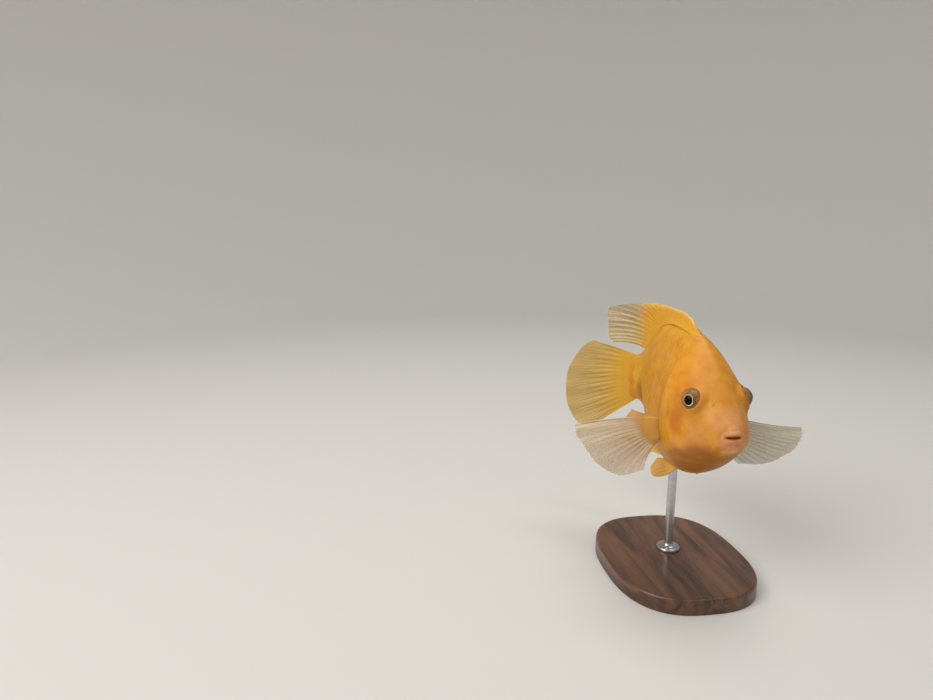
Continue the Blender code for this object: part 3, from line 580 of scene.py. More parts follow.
DORSAL_BASE = (40.0, 108.0)
DORSAL_TIPS = ((0.0, 44.0, 51.8), (0.15, 55.0, 58.2), (0.35, 71.0, 60.6), (0.5, 83.5, 62.0),
               (0.62, 95.0, 62.4), (0.68, 107.0, 62.2), (0.74, 122.0, 61.2), (0.79, 138.4, 58.2),
               (0.84, 138.6, 50.4), (0.89, 138.8, 43.5), (0.94, 138.0, 38.2), (1.0, 134.5, 34.6))
ANAL_BASE = (76.0, 101.5)
ANAL_TIPS = ((0.0, 80.0, -32.0), (0.2, 89.0, -32.5), (0.4, 99.0, -34.0), (0.52, 109.0, -34.5),
             (0.62, 121.0, -33.0), (0.7, 129.0, -29.0), (0.8, 127.0, -22.0), (0.9, 124.5, -15.0),
             (1.0, 120.0, -9.0))
CAUDAL_ROOT_UP = (27.4, -0.6)
CAUDAL_TIPS = ((0.0, 148.5, 35.8), (0.08, 154.5, 32.6), (0.2, 161.0, 24.5), (0.35, 166.0, 14.6),
               (0.55, 167.3, 0.5), (0.74, 165.5, -11.5), (0.9, 158.5, -22.0), (1.0, 147.5, -22.8))
# Tips of the paired fins: share along the base, back, out to the side, and up
PECTORAL_BACK = (47.0, 47.5)
PECTORAL_UP = (1.5, -11.5)
LEFT_PECTORAL_BOW = (2.0, 0.0, -2.0)
LEFT_PECTORAL_TIPS = ((0.0, 48.0, 69.3, -8.9), (0.2, 47.0, 68.5, -13.8), (0.4, 46.5, 65.0, -20.4),
                      (0.6, 48.0, 57.6, -26.2), (0.8, 50.5, 46.7, -30.5), (1.0, 50.0, 31.3, -29.4))
RIGHT_PECTORAL_BOW = (2.0, 0.0, 1.0)
RIGHT_PECTORAL_TIPS = ((0.0, 48.0, 68.7, -0.8), (0.2, 47.0, 67.8, -6.5), (0.4, 46.5, 62.7, -14.6),
                       (0.6, 48.0, 55.2, -24.3), (0.8, 50.5, 41.3, -32.5), (1.0, 50.0, 27.0, -29.8))
PELVIC_BACK = (49.0, 66.0)
PELVIC_ANGLE = math.radians(158)
PELVIC_BOW = (0.0, 0.0, -1.8)
PELVIC_LAST_BOW = 0.0
PELVIC_TIPS = ((0.0, 67.0, 13.5, -39.2), (0.25, 73.0, 13.0, -39.2), (0.5, 75.5, 12.0, -37.0),
               (0.75, 74.0, 11.0, -33.2), (1.0, 69.5, 10.5, -28.8))


def bowed(start, tip, bow, r):
    """Points at shares r of the supports from start to tip, which bow by a vector."""
    r = r[..., None]
    return start + (tip - start) * r + bow * 4 * np.clip(r, 0, 2) * (1 - r)


def median_sheet(base, tips, angle, outward):
    """Middle surface of the dorsal or anal fin."""

    def sheet(t, r):
        back = along(base, t)
        root_up = outline(row_at(back), np.full_like(back, angle))[..., 2] + outward * GAP
        start = stack(back, 0.0, root_up)
        tip = stack(curve(tips, t), 0.0, curve(tips, t, 2))
        reach = tip - start
        bow = stack(-reach[..., 2], 0.0, reach[..., 0]) * outward * MEDIAN_BOW
        return bowed(start, tip, bow, r)

    return sheet


def caudal_sheet(t, r):
    start = stack(BODY_END + GAP, 0.0, along(CAUDAL_ROOT_UP, t))
    tip = stack(curve(CAUDAL_TIPS, t), 0.0, curve(CAUDAL_TIPS, t, 2))
    return bowed(start, tip, np.zeros(3), r)


def paired_sheet(side_sign, root, tips, bow, last_bow=1.0):
    """Middle surface of a pectoral or pelvic fin, from the points of its root on the skin."""
    shares = np.linspace(0, 1, len(root))

    def sheet(t, r):
        start = stack(*(np.interp(t, shares, root[:, c]) for c in range(3)))
        tip = stack(curve(tips, t), side_sign * curve(tips, t, 2), curve(tips, t, 3))
        return bowed(start, tip, np.array(bow) * falling((1.0, last_bow), t)[..., None], r)

    return sheet


def skin_points(backs, angles):
    return outline(row_at(backs), angles, relief(backs, angles))


def pectoral_root(side_sign):
    t = np.linspace(0, 1, 21)
    backs, ups = along(PECTORAL_BACK, t), along(PECTORAL_UP, t)
    angles = np.array([angle_at(b, u) for b, u in zip(backs, ups)]) * side_sign
    return skin_points(backs, angles)


def pelvic_root(side_sign):
    backs = along(PELVIC_BACK, np.linspace(0, 1, 21))
    return skin_points(backs, np.full_like(backs, side_sign * PELVIC_ANGLE))


class Fin:
    """A fin whose branching rays stand out of one thin closed membrane.

    Columns follow the rays from root to tip, so x, a column's place along the base in supports,
    changes with the row.
    """

    def __init__(self, name, sheet, seed, shape):
        self.name = name
        self.sheet = sheet
        self.random = np.random.default_rng(seed)
        for key, value in {**FIN_SHAPE, **shape}.items():
            setattr(self, key, value)
        self.reach = np.linspace(0, 1, self.rows) ** ROW_POWER

    def spacing(self, k):
        """Distance between neighbouring supports at each row."""
        last = self.supports - 1
        low, high = max(k - 0.5, 0) / last, min(k + 0.5, last) / last
        ends = [self.sheet(np.full_like(self.reach, t), self.reach) for t in (low, high)]
        width = np.linalg.norm(ends[1] - ends[0], axis=-1)
        return width / ((high - low) * last)

    def strands(self):
        """For each strand: centre line, half width in supports, rise, edge, its part of PROFILE, if spiny."""
        made = []
        for k in range(self.supports):
            spiny = k < self.spines
            end = k in (0, self.supports - 1)
            half = falling(SPINE_HALF if spiny else self.ray_half, self.reach) / self.spacing(k)
            rise = falling(SPINE_RISE if spiny else self.ray_rise, self.reach)
            if spiny or end:
                half = np.minimum(half * (1.0 if spiny else END_WIDER), WIDEST_END)
                keep = [o for o in PROFILE if not end or (o[0] >= 0 if k == 0 else o[0] <= 0)]
                edge = 1.0 + (SPINE_PROUD if spiny else 0.0)
                made.append((k + 0 * half, half, rise, edge, keep, spiny))
                continue
            half = np.minimum(half, WIDEST_RAY)
            apart, within = (
                np.maximum(spread * smooth((self.reach - fork) / (1 - fork)) ** BRANCH_POWER, clear * half)
                for spread, fork, clear in zip(self.spread, self.forks, BRANCH_CLEAR))
            for big in (-1, 1):
                for small in (-1, 1):
                    edge = 1.0 - self.dip * self.random.uniform(0.0, UNEVEN_ENDS)
                    made.append((k + big * apart + small * within, half, rise, edge, PROFILE, False))
        return made

    def columns(self):
        """x, rise and share of a ray of every column at every row, and how far each column reaches."""
        made = []
        before = None
        for centre, half, height, tip, keep, spiny in self.strands():
            first = centre + keep[0][0] * half
            if before is not None:
                last, last_tip, last_spiny = before
                dip = self.spiny_dip if (spiny and last_spiny) else self.dip
                for share in GAP_SHARES[not (spiny or last_spiny)]:
                    made.append((last + (first - last) * share, 0 * half, 0 * half, min(tip, last_tip) - dip))
            for offset, amount in keep:
                made.append((centre + offset * half, height * amount, amount + 0 * half,
                             tip - (1 - amount) * self.dip * 0.5))
            before = (centre + keep[-1][0] * half, tip, spiny)
        return (np.array(values).T for values in zip(*made))

    def build(self, material):
        x, rise, ray, edge = self.columns()
        t = np.clip(x / (self.supports - 1), 0, 1)
        length = np.linalg.norm(self.sheet(t, np.ones_like(t)) - self.sheet(t, np.zeros_like(t)), axis=-1)
        root = -self.sink / length
        r = root + (edge[None, :] - root) * self.reach[:, None]
        step = 0.01
        across = self.sheet(np.clip(t + step, 0, 1), r) - self.sheet(np.clip(t - step, 0, 1), r)
        normal = unit(np.cross(across, self.sheet(t, r + step) - self.sheet(t, r - step)))
        ripples = sum(share * np.sin(x * per_x + r * per_r + phase) for share, per_x, per_r, phase in RIPPLES)
        wave = ripples * self.wave * np.clip(r, 0, 1) ** RIPPLE_POWER
        middle = self.sheet(t, r) + normal * wave[..., None]
        into_flesh = r / np.interp(t, *zip(*self.flesh_reach))
        low, high = self.ray_start
        bare = smooth((into_flesh - low) / (high - low))
        reach = self.reach[:, None]
        half = along((MEMBRANE_HALF, EDGE_HALF), smooth((reach - THIN_FROM) / (1 - THIN_FROM)))
        thinned = smooth((reach - RAYS_THIN_FROM) / (1 - RAYS_THIN_FROM))
        half = half + rise * bare * (1 - RAYS_THIN * thinned)
        rounded = np.sqrt(np.clip(1 - (2 * t - 1) ** 4, LEAST_ROUNDED, 1))
        half = half + self.flesh * (1 - smooth(into_flesh)) * rounded
        half = half + falling(self.wedge, t) * rounded * np.exp(-r * length / WEDGE_HEIGHT)
        offset = normal * half[..., None]
        body = np.concatenate((middle + offset, middle - offset)).reshape(-1, 3)
        piece = closed_sheet(self.name, body, x.shape, material)
        for name, values in (("ray", ray * bare), ("reach", r), ("share", t)):
            keep_value(piece, name, np.concatenate((values, values)))
        keep_vector(piece, "fish_mm", mirrored(body))
        return piece


def grid_quads(grid):
    """Faces between the neighbouring points of a grid of point numbers."""
    return np.stack((grid[:-1, :-1], grid[:-1, 1:], grid[1:, 1:], grid[1:, :-1]), axis=-1).reshape(-1, 4)


def closed_sheet(name, body, shape, material):
    """A closed mesh from two facing grids of points in body coordinates."""
    top, under = np.arange(2 * shape[0] * shape[1]).reshape(2, *shape)
    faces = [grid_quads(top), grid_quads(under)[:, ::-1]]
    for a, b in ((top[0], under[0]), (under[-1], top[-1]), (under[:, 0], top[:, 0]),
                 (top[:, -1], under[:, -1])):
        faces.append(np.stack((a[:-1], b[:-1], b[1:], a[1:]), axis=-1))
    faces = np.concatenate(faces)
    points = place(body)
    if signed_volume(points, faces) < 0:
        faces = faces[:, ::-1]
    return mesh_piece(name, points, faces.tolist(), material)


def signed_volume(points, faces):
    a, b, c, d = (points[faces[:, i]] for i in range(4))
    parts = np.einsum("ij,ij->i", a, np.cross(b, c)) + np.einsum("ij,ij->i", a, np.cross(c, d))
    return parts.sum()


def build_fins(materials):
    """All the fins, each in the place of its node."""
    dorsal = median_sheet(DORSAL_BASE, DORSAL_TIPS, 0.0, 1)
    anal = median_sheet(ANAL_BASE, ANAL_TIPS, math.pi, -1)
    made = {
        "dorsal_fin": Fin("rayed_dorsal", dorsal, 1, DORSAL_SHAPE),
        "anal_fin": Fin("rayed_anal", anal, 2, ANAL_SHAPE),
        "caudal_fin": Fin("rayed_caudal", caudal_sheet, 3, CAUDAL_SHAPE),
    }
    for side_sign, side, tips, bow in ((1, "left", LEFT_PECTORAL_TIPS, LEFT_PECTORAL_BOW),
                                       (-1, "right", RIGHT_PECTORAL_TIPS, RIGHT_PECTORAL_BOW)):
        sheet = paired_sheet(side_sign, pectoral_root(side_sign), tips, bow)
        made["pectoral_fin_" + side] = Fin("rayed_pectoral_" + side, sheet, 4 + side_sign, PECTORAL_SHAPE)
        sheet = paired_sheet(side_sign, pelvic_root(side_sign), PELVIC_TIPS, PELVIC_BOW, PELVIC_LAST_BOW)
        made["pelvic_fin_" + side] = Fin("rayed_pelvic_" + side, sheet, 8 + side_sign, PELVIC_SHAPE)
    for node, fin in made.items():
        piece = fin.build(materials[node])
        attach(piece, "root")
        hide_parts(node)


# Eyes, in millimetres from the eye's axis or along it
IRIS_RADIUS = 5.76
LENS_RADIUS = 4.7
LENS_STANDS_OUT = 0.14
# The pupil is narrow at its middle and comes to a blunt point at its lower front
PUPIL_NARROW = 0.20
PUPIL_MIDDLE = 3.6
PUPIL_FRONT = 0.14
PUPIL_POINT = 0.03
LENS_NARROW = 0.955
POINT_ANGLE = (math.radians(-55), math.radians(-125))
# Rings and points round each of the balls
IRIS_MESH = (90, 96)
LENS_MESH = (40, 64)
CORNEA_MESH = (64, 72)
BEHIND_IRIS = 9.0
# The gaze turns forward and down from straight out of the head: the right eye's and the left one's
GAZE_FORWARD = (math.radians(5.3), math.radians(-12.0))
GAZE_DOWN = math.radians(12.5)


def ball_grid(radius, rings, around):
    """Points of a ball round +Z, ring by ring, with its polar angles."""
    polar = np.linspace(0, math.pi, rings)[1:-1, None]
    turn = np.linspace(0, 2 * math.pi, around, endpoint=False)[None, :]
    points = stack(np.sin(polar) * np.cos(turn), np.sin(polar) * np.sin(turn), np.cos(polar)) * radius
    return points, polar + 0 * turn, turn + 0 * polar


def build_ball(name, points, seat, material):
    """A closed ball of rings in the eye's own millimetres, set on its seat."""
    rings, around = points.shape[:2]
    ends = np.array(((0, 0, points[0, :, 2].max() + 0.001), (0, 0, points[-1, :, 2].min() - 0.001)))
    flat = np.concatenate((points.reshape(-1, 3), ends))
    world = flat * MM @ np.array(seat.to_3x3()).T + np.array(seat.translation)
    faces = [tuple(reversed(face)) for face in tube_faces(rings, around)]
    return mesh_piece(name, world, faces, material)


def pointing(turn, pointed):
    """1 in the direction of the pupil's point, falling to 0 a quarter turn away from it."""
    return np.clip(np.cos(turn - pointed), 0, 1) ** 3


def eye_matrix(side_sign):
    """The eye's centre, with +Z out of the head and +Y up."""
    turned = np.array((1, side_sign, 1))
    seat = place(EYE_POINT * turned)
    axis = Vector(place((EYE_POINT + EYE_AXIS) * turned) - seat).normalized()
    across = Vector((0, 0, 1)).cross(axis).normalized()
    up = axis.cross(across)
    centre = Vector(seat) + axis * (EYE_STANDS_OUT - EYE_RADIUS) * MM
    forward = -side_sign * GAZE_FORWARD[side_sign > 0]
    gaze = Matrix.Rotation(GAZE_DOWN, 4, "X") @ Matrix.Rotation(forward, 4, "Y")
    return Matrix.Translation(centre) @ Matrix((across, up, axis)).transposed().to_4x4() @ gaze


def build_eye(side_sign, side, materials):
    seat = eye_matrix(side_sign)
    pointed = POINT_ANGLE[side_sign > 0]
    points, polar, turn = ball_grid(IRIS_RADIUS, *IRIS_MESH)
    iris = build_ball(f"eye_{side}_iris", points, seat, materials["iris"])
    across, upright = points[..., 0], points[..., 1]
    middle = bell(np.hypot(across, upright), PUPIL_MIDDLE)
    edge = np.hypot(across * (1 + PUPIL_NARROW * middle), upright)
    edge = edge * (1 - PUPIL_FRONT * pointing(turn, pointed) * middle)
    edge = np.where(polar < math.pi / 2, edge, BEHIND_IRIS)
    for name, values, last in (("from_axis", edge, BEHIND_IRIS), ("forward", -side_sign * across, 0.0),
                               ("up", upright, 0.0)):
        keep_value(iris, name, np.concatenate((values.ravel(), (0.0, last))))

    points, polar, turn = ball_grid(LENS_RADIUS, *LENS_MESH)
    drawn_out = 1 + PUPIL_POINT * pointing(turn, pointed) * np.sin(polar)
    points[..., :2] *= drawn_out[..., None] * (LENS_NARROW, 1.0)
    points[..., 2] += IRIS_RADIUS + LENS_STANDS_OUT - LENS_RADIUS
    lens = build_ball(f"eye_{side}_lens", points, seat, materials["lens"])

    points = ball_grid(EYE_RADIUS, *CORNEA_MESH)[0]
    cornea = build_ball(f"eye_{side}_cornea", points, seat, materials["cornea"])
    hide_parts("eye_" + side)
    for piece in (iris, lens, cornea):
        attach(piece, "root")


# Scales: rows run along the flank, alternate ones shifted by half a scale
SCALE_LENGTH = 3.6
ROW_DISTANCE = 2.65
# How small they are at a distance back
SCALE_SHRINK = ((14.0, 0.72), (25.0, 0.85), (40.0, 1.0), (75.0, 1.0), (95.0, 0.86), (112.0, 0.66),
                (124.0, 0.58))
# They overlap by this factor, their roots are this uneven, and so are their lengths, widths and turns
OVERLAP = 1.62
ROOT_UNEVEN = 0.07
LENGTHS = (0.96, 1.05)
WIDTHS = (0.97, 1.04)
TURN_UNEVEN = 0.04
SCALE_WIDER = 1.16
LEAST_LENGTH = 1.2
# A scale's rear edge: how far back its sides reach, and the powers of its curve. Then its width at the root,
# and how soon it is full.
SIDE_REACH = 0.42
EDGE_POWERS = (2.4, 2.1)
ROOT_WIDTH = 0.82
WIDENS = 2.2
# Where the columns of scales start and end, and how far the rows go past crest and belly
SCALE_FROM = 16.0
SCALE_TO = 117.5
PAST_ENDS = 0.6
# Heights over the skin: the root, the rear edge, how much less the sides have, and the underside. The
# colour of the rear edge starts at a share of the length.
SCALE_ROOT = -0.05
SCALE_REAR = 0.055
SCALE_CROWN = 0.025
SCALE_UNDER = -0.20
RIM_FROM = 0.72
# Over this distance behind the nape the scales rise out of the skin, from this share of their height
SCALE_FADE = 14.0
SCALE_FIRST = 0.4
SCALE_SINK = 0.05
SCALE_SOFTNESS = 0.35
# They keep clear of the gill cover's edge, before and behind it, wherever the edge stands out by this share.
# A scale that the edge crosses before this share of its length starts behind it. Single points of a scale
# may come a little nearer to the edge.
CLEAR_OF_EDGE = (0.6, 0.9)
SEAM_SHARE = 0.03
CROSSED_SHARE = 0.62
POINTS_NEARER = 0.1
# Where the scales start on the head: degrees from the crest, and how far back
NAPE = ((0, 21.0), (30, 23.0), (50, 28.5), (62, 29.5), (75, 24.0), (90, 20.0), (110, 19.0),
        (125, 22.0), (140, 26.0), (160, 30.0), (180, 31.0))
# The grid of a flank's skin: distances back, angles, and lengths along the skin from the middle of the flank.
# Then the points along and across a scale.
BACK_STEP = 0.5
ARC_STEP = 0.25
GRID_BACKS = np.arange(14.0, 126.01, BACK_STEP)
GRID_ANGLES = np.linspace(-math.pi / 2, 3 * math.pi / 2, 721)
GRID_ARCS = np.arange(-70.0, 75.01, ARC_STEP)
SCALE_V = np.linspace(0.0, 1.0, 6)
SCALE_U = np.linspace(-1.0, 1.0, 7)
MIDDLE = len(SCALE_U) // 2
# The scales' places on the unrolled skin's image: their margin, the angle past crest and belly, and a patch
IMAGE_MARGIN = 0.02
PAST_CREST = 0.2
PATCH = 0.003
PATCH_UNDER = 0.96


class FlankGrid:
    """The finished skin of one flank, from past the crest to past the belly, to lay scales on."""

    def __init__(self, side_sign):
        backs, angles = np.meshgrid(GRID_BACKS, GRID_ANGLES * side_sign, indexing="ij")
        self.points = surface(row_at(backs), angles, relief(backs, angles))
        moved = np.gradient(self.points, axis=0)
        turned = np.gradient(self.points, axis=1)
        self.normals = unit(np.cross(moved, turned)) * side_sign
        lengths = np.linalg.norm(np.diff(self.points, axis=1), axis=2)
        arcs = np.concatenate((np.zeros((len(lengths), 1)), np.cumsum(lengths, axis=1)), axis=1)
        middle = np.searchsorted(GRID_ANGLES, math.pi / 2)
        arcs = arcs - arcs[:, middle:middle + 1]
        self.angles = np.array([np.interp(GRID_ARCS, ring, GRID_ANGLES) for ring in arcs])
        self.crest = arcs[:, np.searchsorted(GRID_ANGLES, 0.0)]
        self.belly = arcs[:, np.searchsorted(GRID_ANGLES, math.pi)]

    def sample(self, table, backs, columns, column_values):
        """Values of a table between its grid's rows of backs and its columns."""
        step = column_values[1] - column_values[0]
        i = np.clip((backs - GRID_BACKS[0]) / BACK_STEP, 0, len(GRID_BACKS) - 1.001)
        j = np.clip((columns - column_values[0]) / step, 0, table.shape[1] - 1.001)
        i0, j0 = i.astype(int), j.astype(int)
        fi, fj = i - i0, j - j0
        if table.ndim == 3:
            fi, fj = fi[..., None], fj[..., None]
        low = table[i0, j0] * (1 - fj) + table[i0, j0 + 1] * fj
        high = table[i0 + 1, j0] * (1 - fj) + table[i0 + 1, j0 + 1] * fj
        return low * (1 - fi) + high * fi

    def angle(self, backs, arcs):
        return self.sample(self.angles, backs, arcs, GRID_ARCS)

    def lifted(self, backs, angles, heights):
        points = self.sample(self.points, backs, angles, GRID_ANGLES)
        normals = unit(self.sample(self.normals, backs, angles, GRID_ANGLES))
        return points + normals * np.asarray(heights)[..., None]


def nape(angle):
    return curve(NAPE, np.minimum(np.abs(np.degrees(angle)), 180.0))


def scale_roots(grid, random):
    """Back, row, length, width and turn of every scale of a flank."""
    made = []
    back, n = SCALE_FROM, 0
    while back < SCALE_TO:
        shrink = float(curve(SCALE_SHRINK, back))
        distance = ROW_DISTANCE * shrink
        crest, belly = (np.interp(back, GRID_BACKS, ends) for ends in (grid.crest, grid.belly))
        first, last = math.ceil((crest - PAST_ENDS) / distance), math.floor((belly + PAST_ENDS) / distance)
        for j in range(first, last + 1):
            if (j + n) % 2:
                continue
            root = back + random.normal(0, ROOT_UNEVEN)
            length = SCALE_LENGTH * OVERLAP * shrink * random.uniform(*LENGTHS)
            angle = grid.angle(np.array(root), np.array(j * distance))
            if root < nape(angle):
                continue
            edge, open_share = float(gill_edge(angle)), float(flank(angle))
            before, behind = (gap * open_share for gap in CLEAR_OF_EDGE)
            if open_share > SEAM_SHARE:
                if root < edge + behind < root + CROSSED_SHARE * length:
                    length = root + length - edge - behind
                    root = edge + behind
                elif root + length > edge > root:
                    length = edge - before - root
                if length < LEAST_LENGTH:
                    continue
            width = distance * SCALE_WIDER * random.uniform(*WIDTHS)
            made.append((root, j, length, width, random.normal(0, TURN_UNEVEN)))
        back += 0.5 * SCALE_LENGTH * shrink
        n += 1
    return np.array(made)


def scale_places(grid, random):
    """Backs and angles of every scale's grid of points, and how grown the scale is."""
    root, row, length, width, turn = (column[:, None, None] for column in scale_roots(grid, random).T)
    u, v = SCALE_U[None, None, :], SCALE_V[None, :, None]
    outer, inner = EDGE_POWERS
    along_share = v * along((SIDE_REACH, 1.0), np.clip(1 - np.abs(u) ** outer, 0, 1) ** (1 / inner))
    across = u * width * along((ROOT_WIDTH, 1.0), np.sin(np.clip(v * WIDENS, 0, 1) * math.pi / 2))
    backs = root + along_share * length - turn * across
    arcs = row * ROW_DISTANCE * curve(SCALE_SHRINK, backs) + across + turn * along_share * length
    angles = grid.angle(backs, arcs)
    edge, open_share = gill_edge(angles), flank(angles)
    before, behind = ((gap - POINTS_NEARER) * open_share for gap in CLEAR_OF_EDGE)
    on_head = root < edge[:, :1, MIDDLE:MIDDLE + 1]
    held = np.where(on_head, np.minimum(backs, edge - before), np.maximum(backs, edge + behind))
    backs = np.where(open_share > SEAM_SHARE, held, backs)
    grown = smooth((root - nape(angles[:, :1, MIDDLE:MIDDLE + 1])) / SCALE_FADE)
    heights = SCALE_ROOT + (SCALE_REAR - SCALE_ROOT) * along_share - SCALE_CROWN * u**2
    heights = heights * curve(SCALE_SHRINK, root) * along((SCALE_FIRST, 1.0), grown)
    heights = heights - SCALE_SINK * (1 - grown)
    return root, backs, angles, heights, grown


def scale_faces(count, cell, border, each, side_sign):
    """Faces of closed plates: the top's cells, a skirt round its border, and a fan under it."""
    quads = grid_quads(cell)
    around = cell.size + np.arange(len(border))
    ring = np.stack((border, around, np.roll(around, -1), np.roll(border, -1)), axis=-1)
    fan = np.stack((around, np.full_like(around, each - 1), np.roll(around, -1)), axis=-1)
    if side_sign < 0:
        quads, ring, fan = quads[:, ::-1], ring[:, ::-1], fan[:, ::-1]
    faces = []
    for start in range(0, count * each, each):
        faces += (quads + start).tolist() + (ring + start).tolist() + (fan + start).tolist()
    return faces


def build_coat(side_sign, name, material):
    """The scales of one flank as one mesh of closed, overlapping plates."""
    random = np.random.default_rng(20 + side_sign)
    grid = FlankGrid(side_sign)
    root, backs, angles, heights, grown = scale_places(grid, random)
    count = len(backs)
    rows, columns = len(SCALE_V), len(SCALE_U)
    cell = np.arange(rows * columns).reshape(rows, columns)
    border = np.concatenate((cell[0], cell[1:, -1], cell[-1, -2::-1], cell[-2:0:-1, 0]))

    def flat(values):
        return np.broadcast_to(values, (count, rows, columns)).reshape(count, -1)

    def with_underside(values):
        """Values of the top's points, the same round the border under them, and 0 under the middle."""
        return np.concatenate((values, values[:, border], np.zeros((count, 1))), axis=1)

    top = grid.lifted(backs, angles, heights).reshape(count, -1, 3)
    skirt = grid.lifted(flat(backs)[:, border], flat(angles)[:, border], SCALE_UNDER)
    middle_backs, middle_angles = (values[:, 2:4, MIDDLE].mean(axis=1) for values in (backs, angles))
    centre = grid.lifted(middle_backs, middle_angles, SCALE_UNDER)[:, None, :]
    body = np.concatenate((top, skirt, centre), axis=1)
    each = body.shape[1]
    body = body.reshape(-1, 3)
    coat = mesh_piece(name, place(body), scale_faces(count, cell, border, each, side_sign), material)
    softness = SCALE_SOFTNESS + (1 - SCALE_SOFTNESS) * (1 - grown[:, 0])
    soften_normals(coat, grid, flat(backs), flat(angles), border, softness)
    mark_skin(coat, body)
    keep_value(coat, "rim", with_underside(smooth((flat(SCALE_V[:, None]) - RIM_FROM) / (1 - RIM_FROM))))
    keep_value(coat, "tint", np.repeat(random.normal(0, 1, count), each))
    keep_value(coat, "gill", with_underside(near_gill_edge(flat(backs), flat(angles))))
    place_patches(coat, root[:, 0, 0], angles[:, 0, MIDDLE], flat(SCALE_U), flat(SCALE_V[:, None]), border)
    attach(coat, "root")
    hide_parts("trunk")


def soften_normals(coat, grid, backs, angles, border, share):
    """Turns the scales' normals towards those of the skin under them, by a share for each scale."""
    skin = unit(place(grid.lifted(backs, angles, 1.0)) - place(grid.lifted(backs, angles, 0.0)))
    skin = np.concatenate((skin, skin[:, border], skin[:, :1]), axis=1).reshape(-1, 3)
    own = np.empty(len(coat.data.vertices) * 3, np.float32)
    coat.data.vertex_normals.foreach_get("vector", own)
    share = np.broadcast_to(share, (len(backs), len(skin) // len(backs))).reshape(-1, 1)
    coat.data.normals_split_custom_set_from_vertices(unit(own.reshape(-1, 3) * (1 - share) + skin * share))


def place_patches(coat, root, angle, u, v, border):
    """Gives each scale a small patch of the image, at its root's place on the unrolled skin."""
    within = (IMAGE_MARGIN, 1 - IMAGE_MARGIN)
    centre_u = falling(within, (angle + PAST_CREST) / (math.pi + 2 * PAST_CREST))
    centre_v = along(within, (root - GRID_BACKS[0]) / (GRID_BACKS[-1] - GRID_BACKS[0]))
    local = np.stack((u * 0.5, v - 0.5), axis=-1)
    local = np.concatenate((local, local[:, border] * PATCH_UNDER, np.zeros((len(root), 1, 2))), axis=1)
    uv = (np.stack((centre_u, centre_v), axis=-1)[:, None, :] + PATCH * local).reshape(-1, 2)
    layer = coat.data.uv_layers.new(name="OFBake")
    corner = np.empty(len(coat.data.loops), np.int32)
    coat.data.loops.foreach_get("vertex_index", corner)
    layer.data.foreach_set("uv", np.ascontiguousarray(uv[corner], np.float32).ravel())


# Stand
BASE_WIDTH = 84.0
BASE_LENGTH = 104.0
BASE_THICK = 9.0
BASE_ROUNDNESS = 0.75
BASE_SIDES = 240
# Share, inset from the outline, and height of the base's edge, from the underside to the top
BASE_EDGE = ((0.985, 0.0, 0.0), (1.0, 0.0, 0.0), (1.0, 0.0, 3.6), (1.0, 0.0, 7.2), (1.0, 0.07, 7.9),
             (1.0, 0.28, 8.45), (1.0, 0.66, 8.83), (1.0, 1.3, 9.0), (1.0, 1.9, 9.0))
ROD_BACK = 66.0
ROD_RADIUS = 2.6
ROD_SIDES = 64
# Radius and height of the rod's turned foot, and the shares of its height at which it has rings above that
FOOT = ((6.9, 0.0), (7.0, 0.1), (7.0, 1.2), (6.93, 1.5), (6.7, 1.8), (6.3, 2.0), (5.2, 2.15),
        (4.2, 2.4), (3.5, 2.75), (3.0, 3.2), (2.7, 3.8), (2.6, 4.4))
ROD_RINGS = (0.3, 0.55, 0.8, 1.0)


def turned_piece(name, rings, ends, material, sharp):
    """A closed solid from rings of points, which run from the underside up, and the middles of its ends."""
    points = np.concatenate(list(rings) + [np.array(ends)])
    faces = [tuple(reversed(face)) for face in tube_faces(len(rings), len(rings[0]))]
    piece = mesh_piece(name, points, faces, material)
    piece.data.set_sharp_from_angle(angle=math.radians(sharp))
    return piece


def build_base(material):
    turn = np.linspace(0, 2 * math.pi, BASE_SIDES, endpoint=False)
    c, s = np.cos(turn), np.sin(turn)
    shape = stack(np.sign(c) * np.abs(c) ** BASE_ROUNDNESS, np.sign(s) * np.abs(s) ** BASE_ROUNDNESS)
    half = np.array((BASE_WIDTH, BASE_LENGTH)) / 2
    rings = []
    for share, inset, height in BASE_EDGE:
        x, y = (shape * (half - inset) * share).T
        rings.append(stack(x, y, height) * MM)
    base = turned_piece("wooden_base", rings, ((0, 0, 0), (0, 0, BASE_THICK * MM)), material, 40)
    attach(base, "root")
    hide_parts("stand_base")


def build_rod(material):
    """A turned rod from the base to the belly, its top just inside the skin's underside."""
    foot = place(np.array((ROD_BACK, 0.0, 0.0)))
    bottom = BASE_THICK * MM
    top = place(skin_points(np.array([ROD_BACK]), np.array([math.pi])))[0, 2]
    levels = [(radius * MM, bottom + height * MM) for radius, height in FOOT]
    levels += [(ROD_RADIUS * MM, bottom + (top - bottom) * share) for share in ROD_RINGS]
    turn = np.linspace(0, 2 * math.pi, ROD_SIDES, endpoint=False)
    c, s = np.cos(turn), np.sin(turn)
    rings = [stack(foot[0] + radius * c, foot[1] + radius * s, height) for radius, height in levels]
    ends = ((foot[0], foot[1], bottom), (foot[0], foot[1], top))
    rod = turned_piece("steel_rod", rings, ends, material, 50)
    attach(rod, "root")
    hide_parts("stand_rod")


# Materials
def linear(r, g, b):
    """Shader colour of an sRGB one."""
    parts = (c / 255 / 12.92 if c <= 10 else ((c / 255 + 0.055) / 1.055) ** 2.4 for c in (r, g, b))
    return tuple(parts) + (1.0,)


